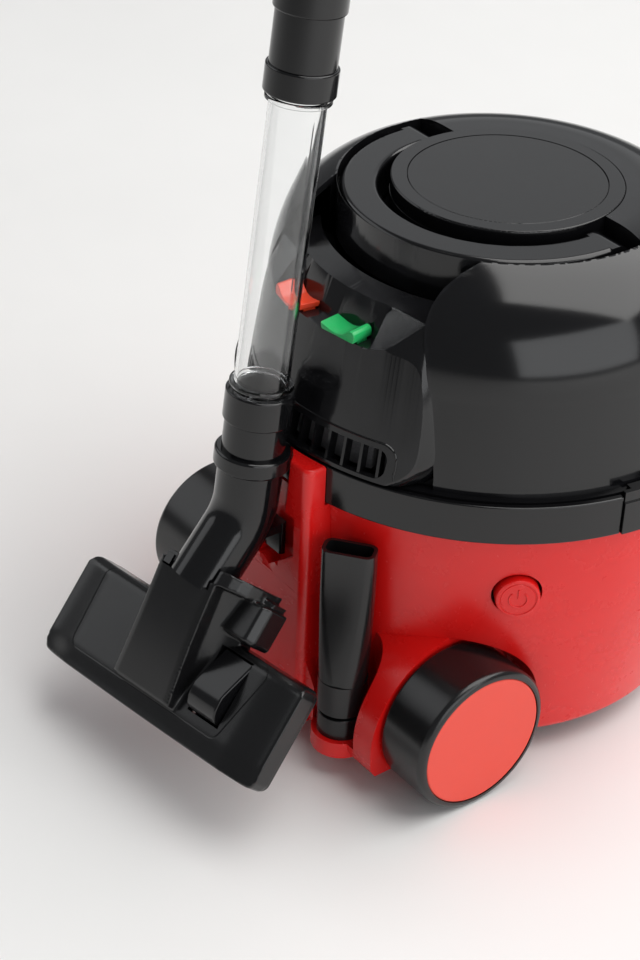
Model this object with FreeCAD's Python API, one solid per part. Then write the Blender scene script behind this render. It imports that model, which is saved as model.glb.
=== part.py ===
import FreeCAD, Part
import math
import os

# Child-size canister vacuum cleaner, in millimetres.
# Frame: origin on the floor under the drum axis, +Z up, +Y towards the hose
# inlet at the front, +X to the right when looking along +Y.
# The wand and the floor head are parked against the rear (-Y) of the drum.

V = FreeCAD.Vector
X_AXIS = V(1, 0, 0)
Y_AXIS = V(0, 1, 0)
Z_AXIS = V(0, 0, 1)

# ---- driving dimensions -------------------------------------------------
WALL = 2.6                  # moulded wall thickness
GAP = 0.3                   # clearance between parts that move past each other
FIT = 0.05                  # radial clearance of a pin or shaft in its hole

BAND_R = 115.0              # outside of the black band round the drum
BAND_LOW = 127.4
BAND_TOP = 145.6
DRUM_TOP_R = 112.4          # drum outside radius, under the band
DRUM_MID_R = 107.2
DRUM_MID_Z = 71.0
DRUM_RIM_R = 98.0           # drum outside radius at its lower rim
DRUM_RIM_Z = 16.5
DRUM_FLOOR_Z = 12.0         # underside of the drum floor
DRUM_TOP_Z = 143.0
BASE_R = 88.0               # black base plate under the drum floor
BASE_LOW_Z = 9.4
SCREW_PLACES = [(-70, 12), (70, 12), (0, 66), (0, -42)]
SCREW_HOLE_R = 1.6
SCREW_HEAD_R = 3.2          # counterbore for a screw head
DOOR_SCREW_X = 50.0
DOOR_SCREW_Y = 27.8

DOME_FOOT_R = 108.5         # dome outside radius just above the band
DOME_FOOT_Z = 147.0
SHOULDER_R = 104.3          # where the elliptical shoulder of the dome starts
SHOULDER_Z = 185.8
SHOULDER_WIDTH = 46.0
SHOULDER_HEIGHT = 52.0
CROWN_Z = SHOULDER_Z + SHOULDER_HEIGHT
WELL_FLOOR_Z = 216.0        # floor of the handle's recess in the dome
RECESS_R = 72.9             # outside of the handle's recess
WELL_FRONT_Y = 11.0         # front end of the handle's recess

PLATE_R = 50.2              # round plate inside the handle
PLATE_LOW_Z = 231.0
DISC_R = 43.0               # plain disc in the middle of the plate
DISC_THICK = 1.5

HANDLE_IN_R = 53.0
HANDLE_OUT_R = 69.0
HANDLE_CENTRE_Y = -3.0
HANDLE_LOW_Z = 219.0
HANDLE_TOP_Z = 235.0
HANDLE_PIVOT_Y = 0.0
HANDLE_PIVOT_Z = 227.0
HANDLE_PIN_R = 2.5

PANEL_LOW_Z = 147.0         # rear control panel
PANEL_LOW_R = 115.0
PANEL_IN_R = 73.1
PANEL_LEDGE_Z = 199.5
PANEL_LEDGE_R = 106.0
PANEL_RIM_Z = 214.6
LEDGE_BACK_R = 95.0
RIM_OUTLINE = [(50.6, 214.6), (45.0, 221.0), (39.0, 227.0), (34.0, 231.5), (30.0, 245.0)]
LEDGE_HALF_X = 33.0
GRILLE_LOW_Z = 148.5
GRILLE_TOP_Z = 164.0
GRILLE_HALF_X = 53.0
GRILLE_PITCH = 7.6

ROCKER_X = 16.8             # rocker switches stand left and right of the centre
ROCKER_Y = -99.6
ROCKER_Z = 201.0
ROCKER_WIDTH = 19.0
ROCKER_DEPTH = 11.0
ROCKER_PIN_R = 1.2

WHEEL_Y = -79.8             # rear wheels
WHEEL_Z = 34.5
WHEEL_R = 34.5
WHEEL_OUT_X = 101.4
WHEEL_IN_X = 74.4
HUB_R = 31.0
HUB_THICK = 3.0
AXLE_R = 2.5
WELL_R = 37.5               # wheel well in the drum

HOUSING_X = 73.0            # rear housing between the wheels
HOUSING_TOP_Z = 72.0
HOUSING_LOW_Z = 12.0
HOUSING_REAR_Y = -119.0
HOUSING_FRONT_Y = -52.0
FENDER_SPAN = 52.0          # degrees of the fender arc, from its top
FENDER_Y = -71.8            # centre of the fender's side arc
FENDER_Z = 26.4
FENDER_R = 46.0

TOWER_X = 26.0              # parking tower behind the drum
TOWER_REAR_Y = -122.0
TOWER_LOW_Z = 82.0
TOWER_TOP_Z = 145.6

TOOL_X = 44.5               # crevice tool and its socket, right rear
TOOL_Y = -112.5
NICHE_R = 16.5
NICHE_FLOOR_Z = 20.0
SOCKET_R = 10.6
SOCKET_TOP_Z = 30.6
SOCKET_PEG_R = 6.0
TOOL_LOW_Z = 32.6
TOOL_TOP_Z = 115.0
TOOL_BASE_R = 11.0

BUTTON_AZ = -33.0           # power button, degrees from +X
BUTTON_Z = 99.0
BUTTON_R = 9.6
BUTTON_HOLE_R = 10.9
BUTTON_FACE_R = 114.2       # distance of the button's face from the drum axis

INLET_Z = 88.0              # hose inlet at the front
INLET_BORE_R = 15.0
INLET_FLANGE_R = 24.0
INLET_LOW_Y = 100.0
INLET_FACE_Y = 122.0

LATCH_HALF_DEG = 12.0       # side latches, centred on +X and -X
LATCH_IN_R = 113.2
LATCH_OUT_R = 116.3
LATCH_LOW_Z = 127.9
LATCH_TOP_Z = 148.0
LATCH_PIVOT_X = 111.0
LATCH_PIVOT_Z = 128.9
LATCH_PIN_R = 0.9

CASTER_X = 46.0             # front casters
CASTER_Y = 56.0
CASTER_R = 9.0
CASTER_WIDTH = 8.0
CASTER_TRAIL = 5.0
CASTER_WELL_R = 19.0
CASTER_ROOF_Z = 27.0

CELL_R = 12.6               # C-size battery cells
CELL_LENGTH = 48.0
CELL_PITCH = 26.2
CELL_Z = 27.5

MOTOR_R = 22.0
MOTOR_TOP_Z = 204.0
BULKHEAD_Z = 148.0
SHAFT_R = 1.6
IMPELLER_R = 36.0

WAND_Y = -131.7             # wand axis at the swivel collar
WAND_Z = 144.5
WAND_TILT = 6.5             # lean towards the drum, degrees
TUBE_R = 11.6
TUBE_WALL = 1.3
SLEEVE_R = 13.5
SLEEVE_BAND_R = 14.6
COLLAR_R = 16.2
ELBOW_R = 14.0
ELBOW_WALL = 2.0

HEAD_AT = V(0, -176.3, 52.0)        # middle of the floor head's top face
HEAD_PITCH = 48.0
HEAD_ROLL = 3.3
HEAD_YAW = 5.6
HEAD_LENGTH = 138.0
HEAD_DEPTH = 46.0
HEAD_THICK = 12.0
SOLE_THICK = 4.0
NECK_X = 3.3                # middle of the neck where it meets the head
NECK_HALF = 15.9            # half the width of the throat round the neck
TILT_Y = 35.0               # tilt pivot of the head, in the head's own frame
TILT_Z = 6.0
PEDAL_X = 33.5



# ---- helpers ------------------------------------------------------------
def face_rz(start, *steps):
    """Face in the XZ half-plane; a step is (r, z), or (mid_r, mid_z, r, z) for an arc."""
    edges = []
    here = V(start[0], 0, start[1])
    for step in steps + (start,):
        there = V(step[-2], 0, step[-1])
        if len(step) == 4:
            edges.append(Part.Arc(here, V(step[0], 0, step[1]), there).toShape())
        elif here.distanceToPoint(there) > 1e-6:
            edges.append(Part.LineSegment(here, there).toShape())
        here = there
    return Part.Face(Part.Wire(edges))


def lathe(face, first=0.0, sweep=360.0):
    """Solid of revolution about Z, starting at azimuth first."""
    turned = face.copy()
    turned.rotate(V(0, 0, 0), Z_AXIS, first)
    return turned.revolve(V(0, 0, 0), Z_AXIS, sweep)


def ring(r_in, r_out, z_low, z_top, first=0.0, sweep=360.0):
    face = face_rz((r_in, z_low), (r_out, z_low), (r_out, z_top), (r_in, z_top))
    return lathe(face, first, sweep)


def rod(r, start, direction, length):
    return Part.makeCylinder(r, length, start, direction)


def pipe(r_in, r_out, start, direction, length):
    return rod(r_out, start, direction, length).cut(rod(r_in, start, direction, length))


def box(low, high):
    return Part.makeBox(high[0] - low[0], high[1] - low[1], high[2] - low[2], V(*low))


def rounded_box(low, high, radius, axis):
    """Box with the four edges along one axis rounded."""
    shape = box(low, high)
    edges = [e for e in shape.Edges if abs(e.tangentAt(e.FirstParameter).dot(axis)) > 0.9]
    return shape.makeFillet(radius, edges)


def prism(points, depth):
    """Straight prism from a closed loop of points, along the vector depth."""
    loop = [V(*p) for p in points]
    return Part.Face(Part.makePolygon(loop + loop[:1])).extrude(depth)


def soften(shape, radius, wanted):
    """Fillet the edges that the test function picks out."""
    return shape.makeFillet(radius, [e for e in shape.Edges if wanted(e)])


def level(edge, z, slack=0.05):
    """True for an edge that lies wholly at height z."""
    bounds = edge.BoundBox
    return abs(bounds.ZMin - z) < slack and abs(bounds.ZMax - z) < slack


def mirrored(shape):
    return shape.mirror(V(0, 0, 0), X_AXIS)


def union(first, *others):
    joined = first
    for other in others:
        joined = joined.fuse(other)
    return joined.removeSplitter()


def leaning(shape):
    """Place a piece built along +Z, with z = 0 at the collar, on the wand's axis."""
    placed = shape.copy()
    placed.rotate(V(0, 0, 0), X_AXIS, -WAND_TILT)
    placed.translate(V(0, WAND_Y, WAND_Z))
    return placed


def on_head(shape):
    """Place a piece built in the floor head's own frame (top face at z = 0)."""
    placed = shape.copy()
    placed.rotate(V(0, 0, 0), X_AXIS, HEAD_PITCH)
    placed.rotate(V(0, 0, 0), Y_AXIS, -HEAD_ROLL)
    placed.rotate(V(0, 0, 0), Z_AXIS, HEAD_YAW)
    placed.translate(HEAD_AT)
    return placed


# ---- drum and base ------------------------------------------------------
def drum_outside(grow=0.0):
    """Filled drum; its side is one slightly bulging arc from rim to band."""
    return lathe(face_rz(
        (0, DRUM_FLOOR_Z - grow),
        (DRUM_RIM_R - 7 + grow, DRUM_FLOOR_Z - grow),
        (DRUM_RIM_R - 2.4 + grow, DRUM_FLOOR_Z + 1.1 - grow, DRUM_RIM_R + grow, DRUM_RIM_Z),
        (DRUM_MID_R + grow, DRUM_MID_Z, DRUM_TOP_R + grow, BAND_LOW),
        (DRUM_TOP_R + grow, DRUM_TOP_Z + grow),
        (0, DRUM_TOP_Z + grow)))


def button_axis():
    turn = math.radians(BUTTON_AZ)
    return V(math.cos(turn), math.sin(turn), 0)


def along_button(distance):
    return button_axis() * distance + V(0, 0, BUTTON_Z)


def wheel_space(radius, inner_x):
    right = rod(radius, V(inner_x, WHEEL_Y, WHEEL_Z), X_AXIS, 60)
    return right.fuse(mirrored(right))


def caster_wells(radius, low, high):
    right = rod(radius, V(CASTER_X, CASTER_Y, low), Z_AXIS, high - low)
    return right.fuse(mirrored(right))


def drum_shell():
    outside = drum_outside()
    inside = lathe(face_rz(
        (0, DRUM_FLOOR_Z + WALL),
        (DRUM_RIM_R - 5, DRUM_FLOOR_Z + WALL),
        (DRUM_RIM_R - WALL, DRUM_RIM_Z + 2),
        (DRUM_MID_R - WALL, DRUM_MID_Z, DRUM_TOP_R - WALL, BAND_LOW),
        (DRUM_TOP_R - WALL, DRUM_TOP_Z + 1),
        (0, DRUM_TOP_Z + 1)))
    liners = wheel_space(WELL_R + WALL, WHEEL_IN_X - 1.4 - WALL)
    liners = liners.fuse(caster_wells(CASTER_WELL_R + WALL, DRUM_FLOOR_Z, CASTER_ROOF_Z + WALL))
    bay = box((-56, -29, DRUM_FLOOR_Z), (56, 29, CELL_Z + CELL_R + 3.0))
    shell = outside.cut(inside.cut(liners).cut(bay))
    shell = shell.cut(wheel_space(WELL_R, WHEEL_IN_X - 1.4))
    shell = shell.cut(caster_wells(CASTER_WELL_R, 0, CASTER_ROOF_Z))
    shell = shell.cut(caster_wells(AXLE_R + FIT, CASTER_ROOF_Z - 1, CASTER_ROOF_Z + 9))
    shell = shell.cut(box((-53.4, -26.4, 0), (53.4, 26.4, CELL_Z + CELL_R + 0.6)))
    shell = shell.cut(rod(AXLE_R + FIT, V(-120, WHEEL_Y, WHEEL_Z), X_AXIS, 240))
    shell = shell.cut(rod(BUTTON_HOLE_R, along_button(90), button_axis(), 40))
    shell = shell.cut(rod(INLET_BORE_R + 3.5, V(0, 90, INLET_Z), Y_AXIS, 40))
    return shell


def base_plate():
    plate = ring(0, BASE_R, BASE_LOW_Z, DRUM_FLOOR_Z)
    plate = soften(plate, 1.2, lambda e: level(e, BASE_LOW_Z))
    plate = plate.cut(caster_wells(CASTER_WELL_R, 0, 30))
    plate = plate.cut(box((-58, -31, 0), (58, 31, 20)))
    for x, y in SCREW_PLACES:
        plate = plate.cut(rod(SCREW_HOLE_R, V(x, y, 0), Z_AXIS, 20))
        plate = plate.cut(rod(SCREW_HEAD_R, V(x, y, 0), Z_AXIS, BASE_LOW_Z + 1.0))
    rear = box((-HOUSING_X - 1, -120, 0), (HOUSING_X + 1, HOUSING_FRONT_Y - 0.2, 20))
    return plate.cut(rear)


def battery_door():
    door = rounded_box((-57.6, -30.6, BASE_LOW_Z), (57.6, 30.6, DRUM_FLOOR_Z - 0.1), 3, Z_AXIS)
    finger = rod(9, V(-46, 0, BASE_LOW_Z - 8.1), Z_AXIS, 9)
    for x in (-DOOR_SCREW_X, DOOR_SCREW_X):
        door = door.cut(rod(SCREW_HOLE_R, V(x, DOOR_SCREW_Y, 0), Z_AXIS, 20))
        door = door.cut(rod(SCREW_HEAD_R, V(x, DOOR_SCREW_Y, 0), Z_AXIS, BASE_LOW_Z + 1.0))
    return door.cut(finger)


def screw(x, y, z_low, length):
    head = rod(3.0, V(x, y, z_low), Z_AXIS, 1.0)
    shank = rod(1.5, V(x, y, z_low), Z_AXIS, length)
    cross = box((x - 2, y - 0.4, z_low), (x + 2, y + 0.4, z_low + 0.6))
    cross = cross.fuse(box((x - 0.4, y - 2, z_low), (x + 0.4, y + 2, z_low + 0.6)))
    return head.fuse(shank).removeSplitter().cut(cross)


def case_screws():
    spots = SCREW_PLACES + [(-DOOR_SCREW_X, DOOR_SCREW_Y), (DOOR_SCREW_X, DOOR_SCREW_Y)]
    return Part.makeCompound([screw(x, y, BASE_LOW_Z, 2.55) for x, y in spots])


def battery_cells():
    cells = []
    for place in range(4):
        x = (place - 1.5) * CELL_PITCH
        end = 1 if place % 2 else -1
        can = rod(CELL_R, V(x, -CELL_LENGTH / 2, CELL_Z), Y_AXIS, CELL_LENGTH)
        nub = rod(3, V(x, end * CELL_LENGTH / 2, CELL_Z), Y_AXIS * end, 1.4)
        cells.append(can.fuse(nub).removeSplitter())
    return Part.makeCompound(cells)


def battery_contacts():
    strips = []
    for side in (-1, 1):
        for place in (-1, 1):
            x = place * CELL_PITCH
            y = side * 25.95
            strips.append(box((x - 20, y - 0.3, CELL_Z - 6), (x + 20, y + 0.3, CELL_Z + 6)))
    return Part.makeCompound(strips)


# ---- rear housing, tower and sockets ------------------------------------
def rear_housing():
    """Red block between the wheels; its fenders follow the tyres."""
    side = [
        (HOUSING_FRONT_Y, HOUSING_TOP_Z),
        (FENDER_Y - 0.9, HOUSING_TOP_Z),
        (FENDER_Y - FENDER_R * math.sin(math.radians(FENDER_SPAN)),
         FENDER_Z + FENDER_R * math.cos(math.radians(FENDER_SPAN))),
        (HOUSING_REAR_Y + 1.6, 16.0),
        (HOUSING_REAR_Y + 4.0, HOUSING_LOW_Z),
        (HOUSING_FRONT_Y, HOUSING_LOW_Z),
    ]
    at = [V(-HOUSING_X, y, z) for y, z in side]
    edges = [
        Part.LineSegment(at[0], at[1]).toShape(),
        Part.Arc(at[1], at[2], at[3]).toShape(),
        Part.LineSegment(at[3], at[4]).toShape(),
        Part.LineSegment(at[4], at[5]).toShape(),
        Part.LineSegment(at[5], at[0]).toShape(),
    ]
    block = Part.Face(Part.Wire(edges)).extrude(V(2 * HOUSING_X, 0, 0))
    core = box((-TOWER_X, TOWER_REAR_Y, HOUSING_LOW_Z), (TOWER_X, -90, TOWER_LOW_Z - 0.1))
    core = soften(core, 4, lambda e: e.BoundBox.YMax < TOWER_REAR_Y + 0.1 and e.Length > 60)
    niche = rod(NICHE_R, V(TOOL_X, TOOL_Y, NICHE_FLOOR_Z), Z_AXIS, 100)
    mouth = box((TOOL_X - NICHE_R, -140, NICHE_FLOOR_Z), (TOOL_X + NICHE_R, TOOL_Y, 120))
    niche = niche.fuse(mouth)
    web = prism([(TOWER_X - 1, TOWER_REAR_Y + 3, NICHE_FLOOR_Z - 1),
                 (33, TOWER_REAR_Y + 3, NICHE_FLOOR_Z - 1),
                 (33, TOWER_REAR_Y + 3, 36), (TOWER_X - 1, TOWER_REAR_Y + 3, 48)], V(0, 8, 0))
    pad = rod(SOCKET_R + 2.4, V(TOOL_X, TOOL_Y, HOUSING_LOW_Z), Z_AXIS,
              NICHE_FLOOR_Z - HOUSING_LOW_Z)
    body = block.cut(niche).cut(mirrored(niche))
    body = body.fuse([core, web, mirrored(web), pad, mirrored(pad)])
    cavity = box((-60, -104, HOUSING_LOW_Z - 1), (60, -50, NICHE_FLOOR_Z - 3))
    body = body.cut(drum_outside()).cut(cavity)
    body = body.cut(rod(AXLE_R, V(-120, WHEEL_Y, WHEEL_Z), X_AXIS, 240))
    return body.removeSplitter()


def wand_clearance(radius, low, high):
    return leaning(rod(radius, V(0, 0, low), Z_AXIS, high - low))


def parking_tower():
    """Upper half of the tower: a cradle for the tube above a funnel pocket."""
    tower = box((-TOWER_X, TOWER_REAR_Y, TOWER_LOW_Z), (TOWER_X, -90, TOWER_TOP_Z))
    tower = soften(tower, 4, lambda e: e.BoundBox.YMax < TOWER_REAR_Y + 0.1 and e.Length > 60)
    tower = soften(tower, 1.5, lambda e: level(e, TOWER_TOP_Z) and e.BoundBox.YMin < -90.1)
    pocket = prism([(-18, -130, 118.5), (18, -130, 118.5), (18, -130, 99), (0, -130, 84.5),
                    (-18, -130, 99)], V(0, 15.5, 0))
    hook_slot = box((-7.5, -130, 88), (7.5, -115.2, 150))
    tower = tower.cut([pocket, hook_slot, wand_clearance(COLLAR_R + 0.9, -60, 40)])
    tower = tower.cut(lathe(face_rz((0, BAND_LOW - 1), (BAND_R + GAP, BAND_LOW - 1),
                                    (BAND_R + GAP, 160), (0, 160))))
    return tower.cut(drum_outside(FIT)).removeSplitter()


def tool_sockets():
    """Black socket rings; the left one stands empty for a second tool."""
    at = V(TOOL_X, TOOL_Y, NICHE_FLOOR_Z)
    cup = rod(SOCKET_R, at, Z_AXIS, SOCKET_TOP_Z - NICHE_FLOOR_Z)
    cup = soften(cup, 0.6, lambda e: level(e, SOCKET_TOP_Z))
    cup = cup.cut(rod(SOCKET_R - 1.8, at + V(0, 0, 2.5), Z_AXIS, 30))
    peg = rod(SOCKET_PEG_R, at + V(0, 0, 2), Z_AXIS, TOOL_LOW_Z + 6 - NICHE_FLOOR_Z)
    shoulder = rod(SOCKET_R - 1.8, at + V(0, 0, 2), Z_AXIS, TOOL_LOW_Z - 2.1 - NICHE_FLOOR_Z)
    right = union(cup, shoulder, peg)
    return Part.makeCompound([right, mirrored(cup)])


def crevice_section(z, long_side, short_side, corner):
    """Rounded rectangle wire at height z, turned to face the right rear."""
    half = (long_side / 2, short_side / 2)
    slab = rounded_box((-half[0], -half[1], 0), (half[0], half[1], 1), corner, Z_AXIS)
    slab.rotate(V(0, 0, 0), Z_AXIS, 38)
    slab.translate(V(TOOL_X, TOOL_Y, z))
    flat = [f for f in slab.Faces if abs(f.CenterOfMass.z - z) < 0.01]
    return flat[0].OuterWire


def crevice_tool():
    at = V(TOOL_X, TOOL_Y, TOOL_LOW_Z)
    base = rod(TOOL_BASE_R, at, Z_AXIS, 16)
    stations = [(TOOL_LOW_Z + 15, 20.6, 20.6, 8.8), (TOOL_LOW_Z + 40, 22.6, 14.0, 5.6),
                (TOOL_TOP_Z, 23.2, 11.4, 4.0)]
    blade = Part.makeLoft([crevice_section(*s) for s in stations], True, False)
    hollow_at = [(TOOL_LOW_Z + 14, 17.0, 17.0, 7.4), (TOOL_LOW_Z + 40, 19.4, 10.6, 4.2),
                 (TOOL_TOP_Z + 1, 20.0, 8.2, 2.6)]
    hollow = Part.makeLoft([crevice_section(*s) for s in hollow_at], True, False)
    tool = base.fuse(blade).cut(hollow)
    tool = tool.cut(rod(9.0, at + V(0, 0, -1), Z_AXIS, 16))
    neck = pipe(SOCKET_PEG_R + 0.35, 9.2, at, Z_AXIS, 6)
    return tool.fuse(neck).removeSplitter()


# ---- band, latches, head ------------------------------------------------
def clamp_band():
    """Black band with a gap at each side for a latch."""
    band = ring(DRUM_TOP_R, BAND_R, BAND_LOW, BAND_TOP)
    band = soften(band, 0.7, lambda e: e.BoundBox.XMax > BAND_R - 0.2)
    gap = ring(100, 130, BAND_LOW - 1, BAND_TOP + 1, -LATCH_HALF_DEG - 0.25,
               2 * LATCH_HALF_DEG + 0.5)
    hole = rod(LATCH_PIN_R + FIT, V(LATCH_PIVOT_X, -25.7, LATCH_PIVOT_Z), Y_AXIS, 51.4)
    band = band.cut(gap).cut(mirrored(gap))
    return band.cut(hole).cut(mirrored(hole))


def latch():
    """Curved clip that turns outwards on two stub pins at its lower corners."""
    clip = ring(LATCH_IN_R, LATCH_OUT_R, LATCH_LOW_Z, LATCH_TOP_Z, -LATCH_HALF_DEG,
                2 * LATCH_HALF_DEG)
    hook = ring(109.8, LATCH_IN_R + 0.5, 146.5, LATCH_TOP_Z, -LATCH_HALF_DEG + 2,
                2 * LATCH_HALF_DEG - 4)
    stub = rod(LATCH_PIN_R, V(LATCH_PIVOT_X, -25.5, LATCH_PIVOT_Z), Y_AXIS, 51)
    stub = stub.cut(ring(0, 200, 0, 300, -LATCH_HALF_DEG + 0.3, 2 * LATCH_HALF_DEG - 0.6))
    step = ring(LATCH_OUT_R - 0.8, 130, LATCH_TOP_Z - 5.0, LATCH_TOP_Z + 1, -20, 40)
    return clip.fuse([hook, stub]).removeSplitter().cut(step)


def dome_profile(inset, foot_z, crown_z):
    """Filled dome: straight flared side, elliptical shoulder and flat crown."""
    centre = V(SHOULDER_R - SHOULDER_WIDTH, 0, SHOULDER_Z)
    rise = SHOULDER_HEIGHT - inset
    reach = SHOULDER_WIDTH - inset
    oval = Part.Ellipse(centre + V(0, 0, rise), centre + V(reach, 0, 0), centre)
    shoulder = Part.ArcOfEllipse(oval, 0, math.pi / 2).toShape()
    top = centre + V(0, 0, rise)
    edge = centre + V(reach, 0, 0)
    foot = V(DOME_FOOT_R - inset, 0, foot_z)
    edges = [shoulder]
    corners = [edge, foot, V(0, 0, foot_z), V(0, 0, crown_z), top]
    for one, other in zip(corners, corners[1:]):
        if one.distanceToPoint(other) > 1e-6:
            edges.append(Part.LineSegment(one, other).toShape())
    wire = Part.Wire(Part.__sortEdges__(edges))
    return Part.Face(wire)


def handle_recess(extra=0.0):
    """Ring-shaped recess for the handle, open towards the rear."""
    low = WELL_FLOOR_Z - extra
    groove = ring(PLATE_R + 0.1 - extra, RECESS_R + extra, low, 260)
    front = box((-120, WELL_FRONT_Y + extra, 0), (120, 130, 300))
    return groove.cut(front)


def panel_wedge(grow=0.0):
    """Plan outline of the control panel, narrowing upwards."""
    low = [(-64.5, -84), (-57, -101), (-57, -135), (57, -135), (57, -101), (64.5, -84),
           (58, -66), (-58, -66)]
    top = [(-50, -80), (-46, -92), (-46, -135), (46, -135), (46, -92), (50, -80),
           (44, -64), (-44, -64)]

    def loop(points, z):
        spots = [V(x + grow * math.copysign(1, x), y, z) for x, y in points]
        return Part.makePolygon(spots + spots[:1])

    return Part.makeLoft([loop(low, PANEL_LOW_Z - 1), loop(top, 216)], True, True)


def panel_body(inset=0.0):
    """Panel solid: sloping face, ledge for the rockers, back wall and rim."""
    face = face_rz(
        (PANEL_IN_R + inset, PANEL_LOW_Z - (1 if inset else 0)),
        (PANEL_LOW_R - inset, PANEL_LOW_Z - (1 if inset else 0)),
        (PANEL_LEDGE_R - inset, PANEL_LEDGE_Z - inset),
        (LEDGE_BACK_R - inset, PANEL_LEDGE_Z - inset),
        (89.5 - inset, PANEL_RIM_Z - inset),
        (PANEL_IN_R + inset, PANEL_RIM_Z - inset))
    cheek = face_rz(
        (PANEL_IN_R + inset, PANEL_LOW_Z - (1 if inset else 0)),
        (PANEL_LOW_R - inset, PANEL_LOW_Z - (1 if inset else 0)),
        (PANEL_LEDGE_R - inset, PANEL_LEDGE_Z - inset),
        (102.6 - inset, 208.5 - inset),
        (96.5 - inset, PANEL_RIM_Z - inset),
        (PANEL_IN_R + inset, PANEL_RIM_Z - inset))
    middle = lathe(face, -130, 80)
    ledge_cut = prism([(-LEDGE_HALF_X, -130, PANEL_LEDGE_Z - 0.01 - inset),
                       (LEDGE_HALF_X, -130, PANEL_LEDGE_Z - 0.01 - inset),
                       (LEDGE_HALF_X + 12, -130, 218), (-LEDGE_HALF_X - 12, -130, 218)],
                      V(0, 60, 0))
    sides = lathe(cheek, -130, 80).cut(ledge_cut)
    return middle.fuse(sides).removeSplitter()


def grille_opening(margin):
    return rounded_box((-GRILLE_HALF_X + margin, -130, GRILLE_LOW_Z + margin),
                       (GRILLE_HALF_X - margin, -92, GRILLE_TOP_Z - margin), 6.0, Y_AXIS)


def rocker_slot(side, margin):
    x = side * ROCKER_X
    half_x = ROCKER_WIDTH / 2 + margin
    half_y = ROCKER_DEPTH / 2 - 1.5 + margin
    return box((x - half_x, ROCKER_Y - half_y, ROCKER_Z - 9),
               (x + half_x, ROCKER_Y + half_y, ROCKER_Z + 20))


def control_panel():
    outer = panel_body().common(panel_wedge())
    inner = panel_body(2.4).common(panel_wedge(-2.4))
    shell = outer.cut(inner).cut(grille_opening(0.0))
    for side in (-1, 1):
        shell = shell.cut(rocker_slot(side, 0.5))
        x = side * ROCKER_X
        pin = rod(ROCKER_PIN_R, V(x - 11.5, ROCKER_Y, ROCKER_Z - 3), X_AXIS, 23)
        lug_low = (x - 12.4, ROCKER_Y - 2.6, ROCKER_Z - 6)
        lug_high = (x - 10.1, ROCKER_Y + 2.6, PANEL_LEDGE_Z - 2.35)
        lug = box(lug_low, lug_high)
        other = lug.copy()
        other.translate(V(22.5, 0, 0))
        shell = shell.fuse([lug, other]).cut(pin)
    bulkhead_room = ring(0, 104.5, PANEL_LOW_Z - 5, BULKHEAD_Z + 3.3)
    return shell.cut(handle_recess()).cut(bulkhead_room).removeSplitter()


def vent_grille():
    """Curved louvre panel with upright bars, set in the rear panel's face."""
    face = face_rz((PANEL_LOW_R - 2.6, PANEL_LOW_Z - 1), (PANEL_LOW_R + 0.4, PANEL_LOW_Z - 1),
                   (PANEL_LEDGE_R + 0.4, PANEL_LEDGE_Z), (PANEL_LEDGE_R - 2.6, PANEL_LEDGE_Z))
    sheet = lathe(face, -130, 80).common(grille_opening(0.15))
    slots = []
    count = int(2 * (GRILLE_HALF_X - 3) / GRILLE_PITCH)
    for place in range(count):
        x = (place - (count - 1) / 2) * GRILLE_PITCH
        reach = 5.4 if abs(x) < GRILLE_HALF_X - 8 else 3.6
        slots.append(box((x - 2.7, -130, 156.2 - reach), (x + 2.7, -90, 156.2 + reach)))
    return sheet.cut(slots)


def rim_opening():
    """Room above the panel's rim, between the dome's two rounded shoulders."""
    outline = [(0, PANEL_RIM_Z)]
    for x, z in RIM_OUTLINE:
        outline.append((x, z))
    outline.append((0, RIM_OUTLINE[-1][1]))
    loop = [(x, -130, z) for x, z in outline]
    right = prism(loop, V(0, 100, 0)).cut(rod(PANEL_IN_R, V(0, 0, 190), Z_AXIS, 80))
    return right.fuse(mirrored(right)).removeSplitter()


def dome_shell():
    """Glossy head cover, cut away for the control panel and the handle."""
    outer = lathe(dome_profile(0.0, DOME_FOOT_Z, CROWN_Z))
    flange = ring(90, DRUM_TOP_R - 0.6, DRUM_TOP_Z + 1.0, 146.2)
    foot = ring(90, DOME_FOOT_R - 1.4, 146.0, DOME_FOOT_Z + 0.5)
    inner = lathe(dome_profile(WALL, DRUM_TOP_Z, CROWN_Z - WALL))
    panel = panel_body().common(panel_wedge())
    pocket = box((-58, -85, 140), (58, -60, 186))
    solid = union(outer, flange, foot)
    shell = solid.cut(inner.cut(handle_recess(2.2)))
    shell = shell.cut(panel_wedge(0.0).common(panel_trim())).cut(panel).cut(pocket)
    shell = shell.cut(rim_opening())
    shell = shell.cut(handle_recess()).cut(ring(0, PLATE_R + 0.2, PLATE_LOW_Z, 260))
    shell = shell.cut(ring(0, PLATE_R - 6, 200, 260))
    pins = rod(HANDLE_PIN_R, V(-76, HANDLE_PIVOT_Y, HANDLE_PIVOT_Z), X_AXIS, 152)
    shell = shell.cut(pins)
    solids = sorted(shell.Solids, key=lambda s: s.Volume)
    return solids[-1]


def panel_trim():
    """Everything outside the panel's inner faces, so the dome makes room for it."""
    return lathe(face_rz((PANEL_IN_R, PANEL_LOW_Z - 4), (130, PANEL_LOW_Z - 4),
                         (130, 260), (PANEL_IN_R, 260)), -130, 80)


def top_plate():
    plate = ring(0, PLATE_R, PLATE_LOW_Z, CROWN_Z + 0.4)
    plate = soften(plate, 0.8, lambda e: level(e, CROWN_Z + 0.4))
    recess = rod(DISC_R + 0.25, V(0, 0, CROWN_Z + 0.4 - DISC_THICK), Z_AXIS, 5)
    return plate.cut(recess)


def top_disc():
    disc = rod(DISC_R, V(0, 0, CROWN_Z + 0.4 - DISC_THICK), Z_AXIS, DISC_THICK - 0.1)
    return soften(disc, 0.4, lambda e: level(e, CROWN_Z + 0.3))


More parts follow.
